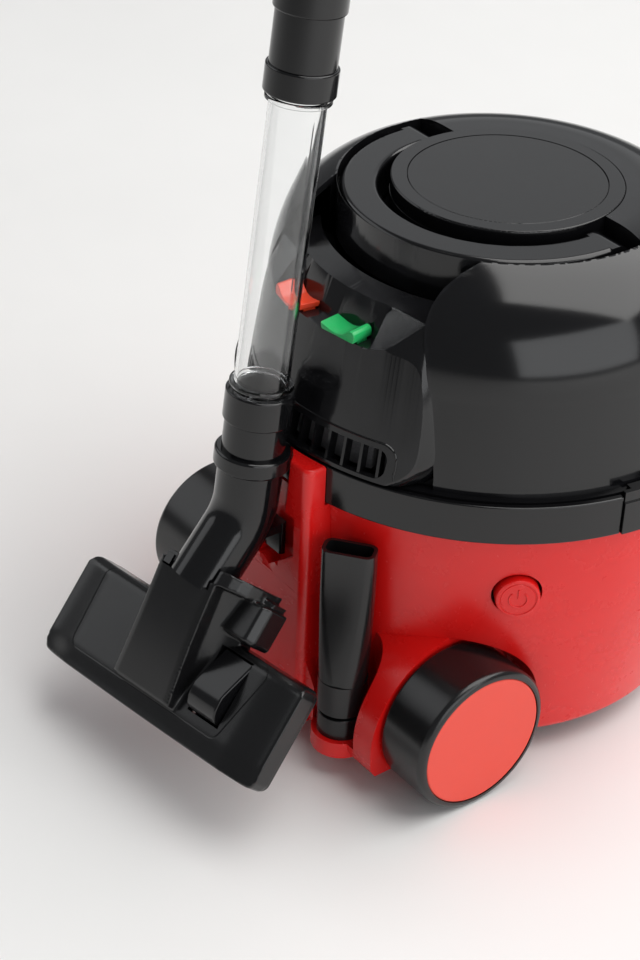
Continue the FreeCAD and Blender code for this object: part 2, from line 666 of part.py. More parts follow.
def carry_handle():
    """C-shaped handle with a pivot boss at each end."""
    bar = ring(HANDLE_IN_R, HANDLE_OUT_R, HANDLE_LOW_Z, HANDLE_TOP_Z, 180, 180)
    bar.translate(V(0, HANDLE_CENTRE_Y, 0))
    bar = soften(bar, 2.5, lambda e: level(e, HANDLE_TOP_Z) and e.Length > 100)
    arms = []
    for side in (-1, 1):
        low_x = min(side * HANDLE_IN_R, side * HANDLE_OUT_R) + (0.3 if side < 0 else 0)
        arms.append(box((low_x, HANDLE_CENTRE_Y - 0.1, HANDLE_LOW_Z),
                        (low_x + HANDLE_OUT_R - HANDLE_IN_R - 0.3, HANDLE_PIVOT_Y,
                         HANDLE_TOP_Z)))
        arms.append(rod(8.0, V(low_x, HANDLE_PIVOT_Y, HANDLE_PIVOT_Z), X_AXIS,
                        HANDLE_OUT_R - HANDLE_IN_R - 0.3))
    handle = union(bar, *arms)
    bore = rod(HANDLE_PIN_R + FIT, V(-80, HANDLE_PIVOT_Y, HANDLE_PIVOT_Z), X_AXIS, 160)
    return handle.cut(bore)


def pivot_pins():
    """Steel pins of the handle and the rockers."""
    handle_pin = rod(HANDLE_PIN_R, V(51.5, HANDLE_PIVOT_Y, HANDLE_PIVOT_Z), X_AXIS, 22)
    pins = [handle_pin, mirrored(handle_pin)]
    for side in (-1, 1):
        start = V(side * ROCKER_X - 11.5, ROCKER_Y, ROCKER_Z - 3)
        pins.append(rod(ROCKER_PIN_R, start, X_AXIS, 23))
    return Part.makeCompound(pins)


def rocker(side):
    """Saddle-shaped rocker paddle on a cross pin."""
    x = side * ROCKER_X
    half = ROCKER_DEPTH / 2
    low = ROCKER_Z - 1.0
    start = V(0, -half - 1.5, low + 1.2)
    edges = [
        Part.Arc(start, V(0, -1.0, low - 0.4), V(0, half, low + 3.6)).toShape(),
        Part.LineSegment(V(0, half, low + 3.6), V(0, half - 0.6, low + 6.2)).toShape(),
        Part.Arc(V(0, half - 0.6, low + 6.2), V(0, -1.0, low + 2.0),
                 V(0, -half - 1.5, low + 3.2)).toShape(),
        Part.LineSegment(V(0, -half - 1.5, low + 3.2), start).toShape(),
    ]
    paddle = Part.Face(Part.Wire(edges)).extrude(V(ROCKER_WIDTH - 0.6, 0, 0))
    paddle.translate(V(-(ROCKER_WIDTH - 0.6) / 2, 0, 0))
    stem = box((-6, -2.2, -5.2), (6, 2.2, 1.0))
    stem.translate(V(0, 0, low))
    body = paddle.fuse(stem).removeSplitter()
    body.translate(V(x, ROCKER_Y, 0))
    return body.cut(rod(ROCKER_PIN_R + FIT, V(x - 12, ROCKER_Y, ROCKER_Z - 3), X_AXIS, 24))


# ---- motor group --------------------------------------------------------
def motor_plate():
    """Bulkhead that carries the motor and closes the dust drum."""
    plate = ring(SHAFT_R + 1.4, 104.0, BULKHEAD_Z, BULKHEAD_Z + 3)
    rim = ring(101.5, 104.0, DRUM_TOP_Z + 1.0, BULKHEAD_Z)
    plate = plate.fuse(rim).removeSplitter()
    for turn in range(6):
        angle = math.radians(60 * turn + 30)
        plate = plate.cut(rod(7, V(60 * math.cos(angle), 60 * math.sin(angle), 140), Z_AXIS, 20))
    return plate


def motor_can():
    can = rod(MOTOR_R, V(0, 0, BULKHEAD_Z + 3), Z_AXIS, MOTOR_TOP_Z - BULKHEAD_Z - 3)
    can = soften(can, 2.5, lambda e: level(e, MOTOR_TOP_Z))
    return can.cut(rod(SHAFT_R + 1.4, V(0, 0, 140), Z_AXIS, 60))


def motor_shaft():
    return rod(SHAFT_R, V(0, 0, 122.0), Z_AXIS, 76)


def impeller():
    """Backward-curved fan wheel on the motor shaft."""
    disc = ring(SHAFT_R, IMPELLER_R, 140.0, 141.6)
    hub = ring(SHAFT_R, 6.0, 127.0, 141.0)
    blades = []
    for turn in range(8):
        blade = box((5, -0.8, 130.0), (IMPELLER_R - 1, 0.8, 140.5))
        blade.rotate(V(5, 0, 0), Z_AXIS, 24)
        blade.rotate(V(0, 0, 0), Z_AXIS, 45 * turn)
        blades.append(blade)
    wheel = union(disc, hub, *blades)
    return wheel.common(ring(SHAFT_R, IMPELLER_R, 120, 150))


def fan_cover():
    cup = ring(0, IMPELLER_R + 8, 124.0, BULKHEAD_Z)
    cup = cup.cut(ring(0, IMPELLER_R + 5.6, 126.4, 160))
    return cup.cut(rod(14, V(0, 0, 120), Z_AXIS, 10))


def dust_filter():
    """Cloth filter cup that hangs under the bulkhead."""
    cup = ring(0, 82, 70, 74)
    wall = ring(80, 82, 70, 140)
    rim = ring(80, 100, 140, 142)
    return union(cup, wall, rim)


def head_seal():
    """Rubber ring between the drum's rim and the head's flange."""
    return ring(DRUM_TOP_R - WALL, DRUM_TOP_R - 0.6, DRUM_TOP_Z, DRUM_TOP_Z + 1.0)


def exhaust_filter():
    """Foam sheet behind the vent grille."""
    return lathe(face_rz((104.5, 148.2), (108, 148.2), (106.5, 164), (103, 164)), -112, 44)


def circuit_board():
    return box((-34, -92, 176), (34, -79, 177.6))


def power_switch():
    """Push switch and its bracket behind the power button."""
    body = rod(7, along_button(84), button_axis(), 10)
    plunger = rod(2, along_button(94), button_axis(), 4)
    return body.fuse(plunger).removeSplitter()


def power_button():
    """Round push button with a domed face and a guide skirt."""
    cap = rod(BUTTON_R, along_button(105), button_axis(), BUTTON_FACE_R - 105)
    cap = soften(cap, 1.6, lambda e: e.CenterOfMass.dot(button_axis()) > BUTTON_FACE_R - 0.3)
    skirt = rod(BUTTON_R + 2.6, along_button(103.4), button_axis(), 1.6)
    return cap.fuse(skirt).removeSplitter()


def hose_inlet_collar():
    """Collar at the front that takes the end of the hose."""
    flange = rod(INLET_FLANGE_R, V(0, 113.0, INLET_Z), Y_AXIS, INLET_FACE_Y - 113.0 - 4)
    nose = rod(INLET_BORE_R + 3.2, V(0, INLET_LOW_Y, INLET_Z), Y_AXIS,
               INLET_FACE_Y - INLET_LOW_Y)
    collar = flange.fuse(nose).removeSplitter()
    collar = collar.cut(rod(INLET_BORE_R, V(0, 90, INLET_Z), Y_AXIS, 50))
    return collar.cut(drum_outside(0.0).cut(rod(INLET_BORE_R + 3.4, V(0, 90, INLET_Z),
                                                Y_AXIS, 50)))


# ---- wheels and casters -------------------------------------------------
def tyre():
    at = V(WHEEL_IN_X, WHEEL_Y, WHEEL_Z)
    width = WHEEL_OUT_X - WHEEL_IN_X
    tread = rod(WHEEL_R, at, X_AXIS, width)
    tread = soften(tread, 3.0, lambda e: abs(e.BoundBox.XMax - WHEEL_OUT_X) < 0.1
                   and e.BoundBox.XMin > WHEEL_OUT_X - 0.1)
    tread = soften(tread, 1.5, lambda e: e.BoundBox.XMax < WHEEL_IN_X + 0.1)
    return tread.cut(rod(HUB_R, at - V(1, 0, 0), X_AXIS, width + 2))


def wheel_core():
    """Dished black wheel with ribs and a long hub bored for the axle."""
    at = V(WHEEL_IN_X, WHEEL_Y, WHEEL_Z)
    rim = pipe(HUB_R - 2.2, HUB_R, at + V(1, 0, 0), X_AXIS, 22.8)
    web = rod(HUB_R - 1, at + V(20.8, 0, 0), X_AXIS, 3)
    hub = rod(6.5, at, X_AXIS, 23)
    ribs = []
    for turn in range(6):
        rib = box((WHEEL_IN_X + 10, WHEEL_Y - 0.9, WHEEL_Z),
                  (WHEEL_IN_X + 21, WHEEL_Y + 0.9, WHEEL_Z + HUB_R - 1))
        rib.rotate(at, X_AXIS, 60 * turn)
        ribs.append(rib)
    core = union(rim, web, hub, *ribs)
    return core.cut(rod(AXLE_R + FIT, at - V(1, 0, 0), X_AXIS, 30))


def hub_disc():
    """Plain coloured disc that covers the outside of the wheel."""
    at = V(WHEEL_OUT_X - HUB_THICK, WHEEL_Y, WHEEL_Z)
    disc = rod(HUB_R - 0.15, at + V(-0.15, 0, 0), X_AXIS, HUB_THICK)
    disc = soften(disc, 0.8, lambda e: e.BoundBox.XMin > WHEEL_OUT_X - 0.3)
    return disc


def rear_axle():
    length = 2 * (WHEEL_OUT_X - HUB_THICK - 1.2)
    return rod(AXLE_R, V(-length / 2, WHEEL_Y, WHEEL_Z), X_AXIS, length)


def caster_fork():
    """Swivelling fork with its stem; the wheel trails behind the stem."""
    y = CASTER_Y - CASTER_TRAIL
    disc = rod(8.0, V(CASTER_X, CASTER_Y, 22.0), Z_AXIS, 3.4)
    stem = rod(AXLE_R, V(CASTER_X, CASTER_Y, 22.0), Z_AXIS, 12.6)
    half = CASTER_WIDTH / 2 + GAP
    cheeks = []
    for side in (-1, 1):
        low_x = CASTER_X + (half if side > 0 else -half - 1.8)
        cheek = box((low_x, y - 3.2, CASTER_R), (low_x + 1.8, CASTER_Y + 4.5, 22.6))
        eye = rod(3.2, V(low_x, y, CASTER_R), X_AXIS, 1.8)
        cheeks += [cheek, eye]
    bridge = box((CASTER_X - half - 1.8, y - 3.2, 20.2), (CASTER_X + half + 1.8, CASTER_Y + 4.5, 22.6))
    fork = union(disc, stem, bridge, *cheeks)
    return fork.cut(rod(1.5, V(CASTER_X - 12, y, CASTER_R), X_AXIS, 24))


def caster_wheel():
    y = CASTER_Y - CASTER_TRAIL
    wheel = rod(CASTER_R, V(CASTER_X - CASTER_WIDTH / 2, y, CASTER_R), X_AXIS, CASTER_WIDTH)
    wheel = wheel.makeFillet(1.5, [e for e in wheel.Edges if e.BoundBox.XLength < 0.1])
    return wheel.cut(rod(1.5 + FIT, V(CASTER_X - 12, y, CASTER_R), X_AXIS, 24))


def caster_pin():
    half = CASTER_WIDTH / 2 + GAP + 1.8
    return rod(1.5, V(CASTER_X - half, CASTER_Y - CASTER_TRAIL, CASTER_R), X_AXIS, 2 * half)


# ---- wand ---------------------------------------------------------------
def sleeve(low, body_low, body_high, high, bore_r):
    """Black connector with a raised band at each end, on the wand's axis."""
    body = rod(SLEEVE_R, V(0, 0, low), Z_AXIS, high - low)
    bands = []
    for start, stop in ((low, body_low), (body_high, high)):
        if stop - start > 0.5:
            band = rod(SLEEVE_BAND_R, V(0, 0, start), Z_AXIS, stop - start)
            bands.append(band.makeFillet(0.8, [e for e in band.Edges if e.Closed]))
    return union(body, *bands).cut(rod(bore_r, V(0, 0, low - 1), Z_AXIS, high - low + 2))


def swivel_collar():
    collar = rod(COLLAR_R, V(0, 0, -4), Z_AXIS, 8)
    collar = collar.makeFillet(1.4, [e for e in collar.Edges if e.Closed])
    return leaning(collar.cut(rod(TUBE_R, V(0, 0, -5), Z_AXIS, 10)))


def lower_connector():
    return leaning(sleeve(4.0, 4.3, 18.0, 31.7, TUBE_R))


def clear_tube(low, high):
    """Transparent tube with a lip a little way in from each end."""
    tube = rod(TUBE_R, V(0, 0, low), Z_AXIS, high - low)
    lips = []
    for z in (low + 12.0, high - 14.0):
        lip = rod(SLEEVE_R, V(0, 0, z), Z_AXIS, 2.0)
        lips.append(lip.makeFillet(0.7, [e for e in lip.Edges if e.Closed]))
    whole = union(tube, *lips)
    return leaning(whole.cut(rod(TUBE_R - TUBE_WALL, V(0, 0, low - 1), Z_AXIS, high - low + 2)))


def upper_connector():
    return leaning(sleeve(160.7, 172.0, 194.0, 205.0, TUBE_R))


def swept_pipe(points, radius, r_out, r_in):
    """Pipe along straight runs joined by one tangent arc at the middle point."""
    start, corner, stop = [V(*p) for p in points]
    into = (corner - start).normalize()
    away = (stop - corner).normalize()
    half = into.getAngle(away) / 2
    reach = radius * math.tan(half)
    first = corner - into * reach
    last = corner + away * reach
    bulge = (away - into).normalize()
    middle = corner + bulge * (radius / math.cos(half) - radius)
    path = Part.Wire([Part.LineSegment(start, first).toShape(),
                      Part.Arc(first, middle, last).toShape(),
                      Part.LineSegment(last, stop).toShape()])
    solids = []
    for r in (r_out, r_in):
        if r:
            hoop = Part.Wire(Part.Circle(start, into, r).toShape())
            solids.append(path.makePipeShell([hoop], True, False))
    return solids[0].cut(solids[1]) if r_in else solids[0]


def bent_handle():
    """Curved hand grip at the top of the wand, ending in the hose socket."""
    points = [(0, 0, 331.0), (0, 0, 392.0), (0, -62, 452.0)]
    grip = swept_pipe(points, 70, SLEEVE_R, TUBE_R)
    cuff = pipe(TUBE_R, SLEEVE_BAND_R, V(0, 0, 319.2), Z_AXIS, 14)
    away = V(0, -62, 60).normalize()
    socket = pipe(13.0, 16.4, V(*points[2]) - away * 1.0, away, 24)
    step = pipe(TUBE_R, 15.6, V(*points[2]) - away * 6.0, away, 6)
    return leaning(union(grip, cuff, socket, step))


def neck_points():
    """Middle line of the elbow, from the collar down into the floor head."""
    top = (0, WAND_Y - 4.1 * math.sin(math.radians(WAND_TILT)),
           WAND_Z - 4.1 * math.cos(math.radians(WAND_TILT)))
    return [top, (0, -135.0, 117.0), (0, -158.0, 89.2)]


def neck_elbow():
    """Bent tube from the collar to a pivot barrel, with the parking hook."""
    top, bend, low = neck_points()
    elbow = swept_pipe([top, bend, low], 32, ELBOW_R, ELBOW_R - ELBOW_WALL)
    barrel = on_head(rod(11.0, V(NECK_X - 13, TILT_Y, TILT_Z), X_AXIS, 26.0))
    hook = box((-6, -128, 104), (6, -119.4, 108))
    tongue = rounded_box((-6, -119.5, 92), (6, -116.4, 108), 1.2, Z_AXIS)
    pin_hole = on_head(rod(3.0 + FIT, V(-40, TILT_Y, TILT_Z), X_AXIS, 80))
    core = swept_pipe([top, bend, low], 32, ELBOW_R - ELBOW_WALL, 0)
    body = elbow.fuse([barrel, hook.cut(core), tongue]).removeSplitter()
    return body.cut(pin_hole)


# ---- floor head ---------------------------------------------------------
def head_block():
    """Long low body with rounded ends and edges, in the head's own frame."""
    half_x = HEAD_LENGTH / 2
    half_y = HEAD_DEPTH / 2
    block = rounded_box((-half_x, -half_y, -HEAD_THICK), (half_x, half_y + 2, 0), 4.5, Z_AXIS)
    return soften(block, 2.0, lambda e: level(e, 0))


def hood():
    """Flat-faced hood that rises from the front of the head to the neck."""
    low = [(-20, -13, -2), (17, -13, -2), (17, -12, 6.5), (-20, -12, 6.5)]
    rear = [(NECK_X - 16.5, 43, -8), (NECK_X + 16.5, 43, -8),
            (NECK_X + 16.5, 43, 21), (NECK_X - 16.5, 43, 21)]
    loops = [Part.makePolygon([V(*p) for p in loop + loop[:1]]) for loop in (low, rear)]
    return Part.makeLoft(loops, True, True)


def floor_head_shell():
    block = head_block()
    yoke = rounded_box((-36, HEAD_DEPTH / 2 - 4, -9), (36, 46, 7), 3.0, X_AXIS)
    body = union(block, hood(), yoke)
    neck_room = rod(12.2, V(NECK_X - NECK_HALF, TILT_Y, TILT_Z), X_AXIS, 2 * NECK_HALF)
    throat = box((NECK_X - NECK_HALF, TILT_Y, -20), (NECK_X + NECK_HALF, 70, 40))
    under = box((-HEAD_LENGTH / 2 + 2.4, -HEAD_DEPTH / 2 + 2.4, -HEAD_THICK - 1),
                (HEAD_LENGTH / 2 - 2.4, HEAD_DEPTH / 2 - 2.4, -2.8))
    pedal_hole = box((PEDAL_X - 9.4, -9.4, -20), (PEDAL_X + 9.4, 21.4, 20))
    body = body.cut([neck_room, throat, under, pedal_hole])
    shaft = rod(3.0, V(NECK_X - 18, TILT_Y, TILT_Z), X_AXIS, 36)
    return on_head(largest(body.cut(tilt_room()).fuse(shaft)))


def tilt_room():
    """Space swept by the elbow when the head tilts about its pivot."""
    wedge = rod(60, V(NECK_X - NECK_HALF, TILT_Y, TILT_Z), X_AXIS, 2 * NECK_HALF)
    keep = box((-40, -80, -80), (40, TILT_Y + 3.0, 80))
    return wedge.cut(keep)


def largest(shape):
    return sorted(shape.Solids, key=lambda s: s.Volume)[-1]


def sole_plate():
    half_x = HEAD_LENGTH / 2
    half_y = HEAD_DEPTH / 2
    plate = rounded_box((-half_x, -half_y, -HEAD_THICK - SOLE_THICK),
                        (half_x, half_y + 2, -HEAD_THICK - 0.05), 4.5, Z_AXIS)
    mouth = rounded_box((-52, -14, -30), (52, -4, 0), 3, Z_AXIS)
    brush_slot = rounded_box((-54, 2, -30), (54, 9, 0), 2, Z_AXIS)
    return on_head(plate.cut(mouth).cut(brush_slot))


def brush_strip():
    """Bristle strip on its carrier, lowered by the pedal."""
    top = -HEAD_THICK + 1.0
    carrier = box((-50, 3.2, top), (50, 7.8, top + 3.0))
    bristles = []
    for place in range(16):
        x = (place - 7.5) * 6.2
        bristles.append(box((x - 2.2, 3.8, -HEAD_THICK - SOLE_THICK + 0.3), (x + 2.2, 7.2, top)))
    return on_head(union(carrier, *bristles))


def pedal():
    """Foot pedal that rocks on a cross rib and drops the brush."""
    side = [(0, 20.6, -1.6), (0, 20.6, 0.2), (0, 2.0, 6.6), (0, -2.0, 5.4), (0, -8.6, 0.4),
            (0, -8.6, -1.6)]
    wedge = prism([(PEDAL_X - 8.8, y, z) for _, y, z in side], V(17.6, 0, 0))
    return on_head(wedge)


# ---- hand-in ------------------------------------------------------------
def main():
    os.makedirs("parts", exist_ok=True)
    right_tyre = tyre()
    right_core = wheel_core()
    right_disc = hub_disc()
    right_fork = caster_fork()
    right_roller = caster_wheel()
    right_pin = caster_pin()
    right_latch = latch()
    shapes = {
        "drum_shell": drum_shell(),
        "base_plate": base_plate(),
        "case_screws": case_screws(),
        "battery_cells": battery_cells(),
        "battery_contacts": battery_contacts(),
        "battery_door": battery_door(),
        "rear_housing": rear_housing(),
        "parking_tower": parking_tower(),
        "tool_sockets": tool_sockets(),
        "rear_axle": rear_axle(),
        "hose_inlet_collar": hose_inlet_collar(),
        "clamp_band": clamp_band(),
        "head_seal": head_seal(),
        "dome_shell": dome_shell(),
        "control_panel": control_panel(),
        "vent_grille": vent_grille(),
        "top_plate": top_plate(),
        "top_disc": top_disc(),
        "pivot_pins": pivot_pins(),
        "motor_can": motor_can(),
        "motor_plate": motor_plate(),
        "fan_cover": fan_cover(),
        "dust_filter": dust_filter(),
        "exhaust_filter": exhaust_filter(),
        "power_switch": power_switch(),
        "circuit_board": circuit_board(),
        "right_tyre": right_tyre,
        "left_tyre": mirrored(right_tyre),
        "right_wheel_core": right_core,
        "left_wheel_core": mirrored(right_core),
        "right_hub_disc": right_disc,
        "left_hub_disc": mirrored(right_disc),
        "right_caster_fork": right_fork,
        "left_caster_fork": mirrored(right_fork),
        "right_caster_wheel": right_roller,
        "left_caster_wheel": mirrored(right_roller),
        "right_caster_pin": right_pin,
        "left_caster_pin": mirrored(right_pin),
        "carry_handle": carry_handle(),
        "power_button": power_button(),
        "red_rocker": rocker(-1),
        "green_rocker": rocker(1),
        "right_latch": right_latch,
        "left_latch": mirrored(right_latch),
        "motor_shaft": motor_shaft(),
        "impeller": impeller(),
        "neck_elbow": neck_elbow(),
        "swivel_collar": swivel_collar(),
        "lower_connector": lower_connector(),
        "lower_tube": clear_tube(21.5, 171.5),
        "upper_connector": upper_connector(),
        "upper_tube": clear_tube(194.5, 330.5),
        "bent_handle": bent_handle(),
        "floor_head_shell": floor_head_shell(),
        "sole_plate": sole_plate(),
        "brush_strip": brush_strip(),
        "pedal": pedal(),
        "crevice_tool": crevice_tool(),
    }
    for name, shape in shapes.items():
        print(name, shape.ShapeType, len(shape.Solids), round(shape.Volume), shape.isValid())
        shape.exportStep("parts/" + name + ".step")


main()
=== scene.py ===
import bpy
import bmesh
import math
from mathutils import Matrix, Vector


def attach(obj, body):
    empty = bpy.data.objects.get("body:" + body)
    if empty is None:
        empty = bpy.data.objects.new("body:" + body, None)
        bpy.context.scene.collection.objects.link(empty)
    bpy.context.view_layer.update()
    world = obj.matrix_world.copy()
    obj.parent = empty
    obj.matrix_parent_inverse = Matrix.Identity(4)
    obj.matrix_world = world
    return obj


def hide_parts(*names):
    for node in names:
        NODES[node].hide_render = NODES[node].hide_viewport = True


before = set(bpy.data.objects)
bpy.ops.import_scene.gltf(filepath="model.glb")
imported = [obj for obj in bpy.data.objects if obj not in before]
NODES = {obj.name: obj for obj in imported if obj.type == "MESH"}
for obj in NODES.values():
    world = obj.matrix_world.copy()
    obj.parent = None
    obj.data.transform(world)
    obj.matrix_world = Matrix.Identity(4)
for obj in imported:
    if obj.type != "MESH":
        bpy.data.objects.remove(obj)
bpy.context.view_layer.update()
MM = 0.001


# ---- materials ------------------------------------------------------------
class Shader:
    """Small builder for one procedural material around a Principled BSDF."""

    def __init__(self, name):
        self.material = bpy.data.materials.new(name)
        self.material.use_nodes = True
        self.tree = self.material.node_tree
        self.bsdf = self.tree.nodes["Principled BSDF"]
        self.coords = self.tree.nodes.new("ShaderNodeTexCoord").outputs["Object"]

    def node(self, kind, **values):
        made = self.tree.nodes.new("ShaderNode" + kind)
        for key, value in values.items():
            setattr(made, key, value)
        return made

    def link(self, source, target):
        self.tree.links.new(source, target)

    def stretch(self, scale):
        mapping = self.node("Mapping")
        mapping.inputs["Scale"].default_value = scale
        self.link(self.coords, mapping.inputs["Vector"])
        return mapping.outputs["Vector"]

    def noise(self, scale, detail=3.0, rough=0.5, vector=None):
        made = self.node("TexNoise")
        made.inputs["Scale"].default_value = scale
        made.inputs["Detail"].default_value = detail
        made.inputs["Roughness"].default_value = rough
        self.link(vector or self.coords, made.inputs["Vector"])
        return made.outputs["Fac"]

    def spread(self, value, low, high, start=0.3, end=0.7):
        made = self.node("MapRange")
        made.inputs["From Min"].default_value = start
        made.inputs["From Max"].default_value = end
        made.inputs["To Min"].default_value = low
        made.inputs["To Max"].default_value = high
        self.link(value, made.inputs["Value"])
        return made.outputs["Result"]

    def mix(self, factor, first, second):
        made = self.node("Mix", data_type="RGBA")
        self.link(factor, made.inputs["Factor"])
        for socket, value in ((made.inputs[6], first), (made.inputs[7], second)):
            if hasattr(value, "links"):
                self.link(value, socket)
            else:
                socket.default_value = (*value, 1.0)
        return made.outputs[2]

    def add(self, first, second, operation="ADD"):
        made = self.node("Math", operation=operation)
        for socket, value in zip(made.inputs, (first, second)):
            if hasattr(value, "links"):
                self.link(value, socket)
            else:
                socket.default_value = value
        return made.outputs["Value"]

    def colour(self, value):
        self.link(value, self.bsdf.inputs["Base Color"])

    def roughness(self, value):
        self.link(value, self.bsdf.inputs["Roughness"])

    def bump(self, height, strength, distance, under=None):
        made = self.node("Bump")
        made.inputs["Strength"].default_value = strength
        made.inputs["Distance"].default_value = distance
        self.link(height, made.inputs["Height"])
        if under is not None:
            self.link(under, made.inputs["Normal"])
        self.link(made.outputs["Normal"], self.bsdf.inputs["Normal"])
        return made.outputs["Normal"]

    def edges(self, low, high):
        """0 on flat areas, 1 along convex edges."""
        point = self.node("NewGeometry").outputs["Pointiness"]
        return self.spread(point, 0.0, 1.0, low, high)

    def set(self, **values):
        for key, value in values.items():
            self.bsdf.inputs[key.replace("_", " ")].default_value = value


def scaled(colour, factor):
    return tuple(min(1.0, c * factor) for c in colour)


def plastic(name, colour, rough, grain=0.0, wear=1.25, glow=0.0):
    """Moulded plastic: cloudy tint, hand smudges, hairline scuffs, moulding ripple, worn edges."""
    s = Shader(name)
    cloud = s.noise(22.0, 4.0)
    tint = s.mix(s.spread(cloud, 0.0, 1.0), scaled(colour, 0.97), scaled(colour, 1.03))
    rubbed = s.add(s.edges(0.58, 0.72), s.spread(s.noise(90.0, 3.0), 0.1, 0.8), "MULTIPLY")
    s.colour(s.mix(rubbed, tint, scaled(colour, wear)))
    smudge = s.spread(s.noise(34.0, 6.0, 0.62), rough * 0.95, rough * 1.06, 0.35, 0.68)
    scuffs = s.noise(1.0, 2.0, 0.5, s.stretch((90.0, 700.0, 240.0)))
    scuffed = s.add(smudge, s.spread(scuffs, 0.0, rough * 0.12, 0.66, 0.8))
    s.roughness(scuffed)
    ripple = s.noise(70.0, 2.0)
    first = s.bump(ripple, 0.03, 0.0004)
    fine = s.noise(2600.0 if grain else 1500.0, 2.0, 0.6)
    s.bump(fine, 0.1 + grain, 0.00006 + 0.0001 * grain, first)
    s.set(IOR=1.5)
    if glow:
        s.set(Subsurface_Weight=glow, Subsurface_Scale=0.004)
        s.bsdf.inputs["Subsurface Radius"].default_value = (1.0, 0.25, 0.15)
    return s.material


def clear_plastic(name):
    """Clear extruded tube: faint draw lines, tiny haze, fine scratches."""
    s = Shader(name)
    lines = s.noise(1.0, 3.0, 0.5, s.stretch((420.0, 420.0, 9.0)))
    haze = s.noise(60.0, 5.0)
    s.roughness(s.add(s.spread(lines, 0.0, 0.012), s.spread(haze, 0.0, 0.012)))
    s.colour(s.mix(s.spread(haze, 0.0, 1.0), (0.965, 0.97, 0.97), (0.985, 0.99, 0.99)))
    s.bump(lines, 0.04, 0.00008)
    s.set(Transmission_Weight=1.0, IOR=1.46)
    return s.material


def metal(name, colour, rough):
    """Turned metal with fine circular tool marks and slight tarnish."""
    s = Shader(name)
    marks = s.noise(1.0, 2.0, 0.5, s.stretch((120.0, 120.0, 5200.0)))
    stain = s.noise(70.0, 5.0)
    s.colour(s.mix(s.spread(stain, 0.0, 1.0), scaled(colour, 0.85), scaled(colour, 1.06)))
    s.roughness(s.add(s.spread(marks, rough * 0.8, rough * 1.3), s.spread(stain, 0.0, 0.08)))
    s.bump(marks, 0.15, 0.00005)
    s.set(Metallic=1.0)
    return s.material


def fibre(name, colour, scale):
    """Cloth, foam or bristle: two crossed fine weaves with fuzz."""
    s = Shader(name)
    one = s.noise(1.0, 2.0, 0.5, s.stretch((scale, scale * 0.15, scale)))
    two = s.noise(1.0, 2.0, 0.5, s.stretch((scale * 0.15, scale, scale)))
    both = s.add(one, two)
    s.colour(s.mix(s.spread(both, 0.0, 1.0, 0.8, 1.2), scaled(colour, 0.7), scaled(colour, 1.15)))
    s.roughness(s.spread(both, 0.8, 0.98, 0.8, 1.2))
    s.bump(both, 0.5, 0.0003)
    s.set(Sheen_Weight=0.3)
    return s.material


def board_green(name):
    """Solder mask with faint copper tracks under it."""
    s = Shader(name)
    tracks = s.node("TexBrick", offset=0.5)
    tracks.inputs["Scale"].default_value = 170.0
    tracks.inputs["Mortar Size"].default_value = 0.06
    tracks.inputs["Color1"].default_value = (0.01, 0.14, 0.05, 1.0)
    tracks.inputs["Color2"].default_value = (0.012, 0.17, 0.06, 1.0)
    tracks.inputs["Mortar"].default_value = (0.03, 0.26, 0.09, 1.0)
    s.link(s.coords, tracks.inputs["Vector"])
    s.colour(tracks.outputs["Color"])
    s.roughness(s.spread(s.noise(200.0), 0.3, 0.5))
    s.bump(tracks.outputs["Fac"], 0.2, 0.0001)
    return s.material


LOOKS = {
    "red_body": plastic("red_body", (0.70, 0.008, 0.007), 0.27, wear=1.0),
    "red_disc": plastic("red_disc", (0.76, 0.060, 0.036), 0.36, 0.1, wear=1.0),
    "black_gloss": plastic("black_gloss", (0.0042, 0.0042, 0.0048), 0.13, wear=2.2),
    "black_satin": plastic("black_satin", (0.0065, 0.0065, 0.007), 0.24, 0.15, wear=2.0),
    "black_inner": plastic("black_inner", (0.016, 0.016, 0.017), 0.36, 0.2, wear=1.6),
    "tyre_black": plastic("tyre_black", (0.0085, 0.0085, 0.009), 0.22, 0.1, wear=2.0),
    "clear_tube": clear_plastic("clear_tube"),
    "red_switch": plastic("red_switch", (0.85, 0.065, 0.022), 0.22, glow=0.1, wear=1.05),
    "green_switch": plastic("green_switch", (0.02, 0.43, 0.12), 0.22, glow=0.1, wear=1.1),
    "seal_rubber": plastic("seal_rubber", (0.018, 0.018, 0.018), 0.6, 0.5, wear=1.4),
    "filter_cloth": fibre("filter_cloth", (0.72, 0.71, 0.66), 900.0),
    "filter_foam": fibre("filter_foam", (0.07, 0.07, 0.075), 1500.0),
    "steel": metal("steel", (0.62, 0.62, 0.63), 0.25),
    "motor_metal": metal("motor_metal", (0.55, 0.55, 0.56), 0.38),
    "contact_metal": metal("contact_metal", (0.72, 0.6, 0.32), 0.3),
    "cell_wrap": plastic("cell_wrap", (0.16, 0.17, 0.19), 0.3),
    "board": board_green("board"),
    "bristle": fibre("bristle", (0.03, 0.03, 0.03), 2400.0),
    "fan_plastic": plastic("fan_plastic", (0.68, 0.68, 0.64), 0.4, 0.2, wear=1.05),
}


def node_slot(name):
    """The record's material slot of a CAD node, from the material it was packed with."""
    packed = NODES[name].data.materials[0].name
    return packed.split(".")[0]


def dress_nodes():
    """Put the look of its slot on every CAD node."""
    for name, node in NODES.items():
        look = LOOKS[node_slot(name)]
        for index in range(len(node.data.materials)):
            node.material_slots[index].link = "OBJECT"
            node.material_slots[index].material = look


# ---- mesh helpers, all in millimetres ---------------------------------------
def add_object(name, mesh):
    made = bpy.data.objects.new(name, mesh)
    bpy.context.scene.collection.objects.link(made)
    return made


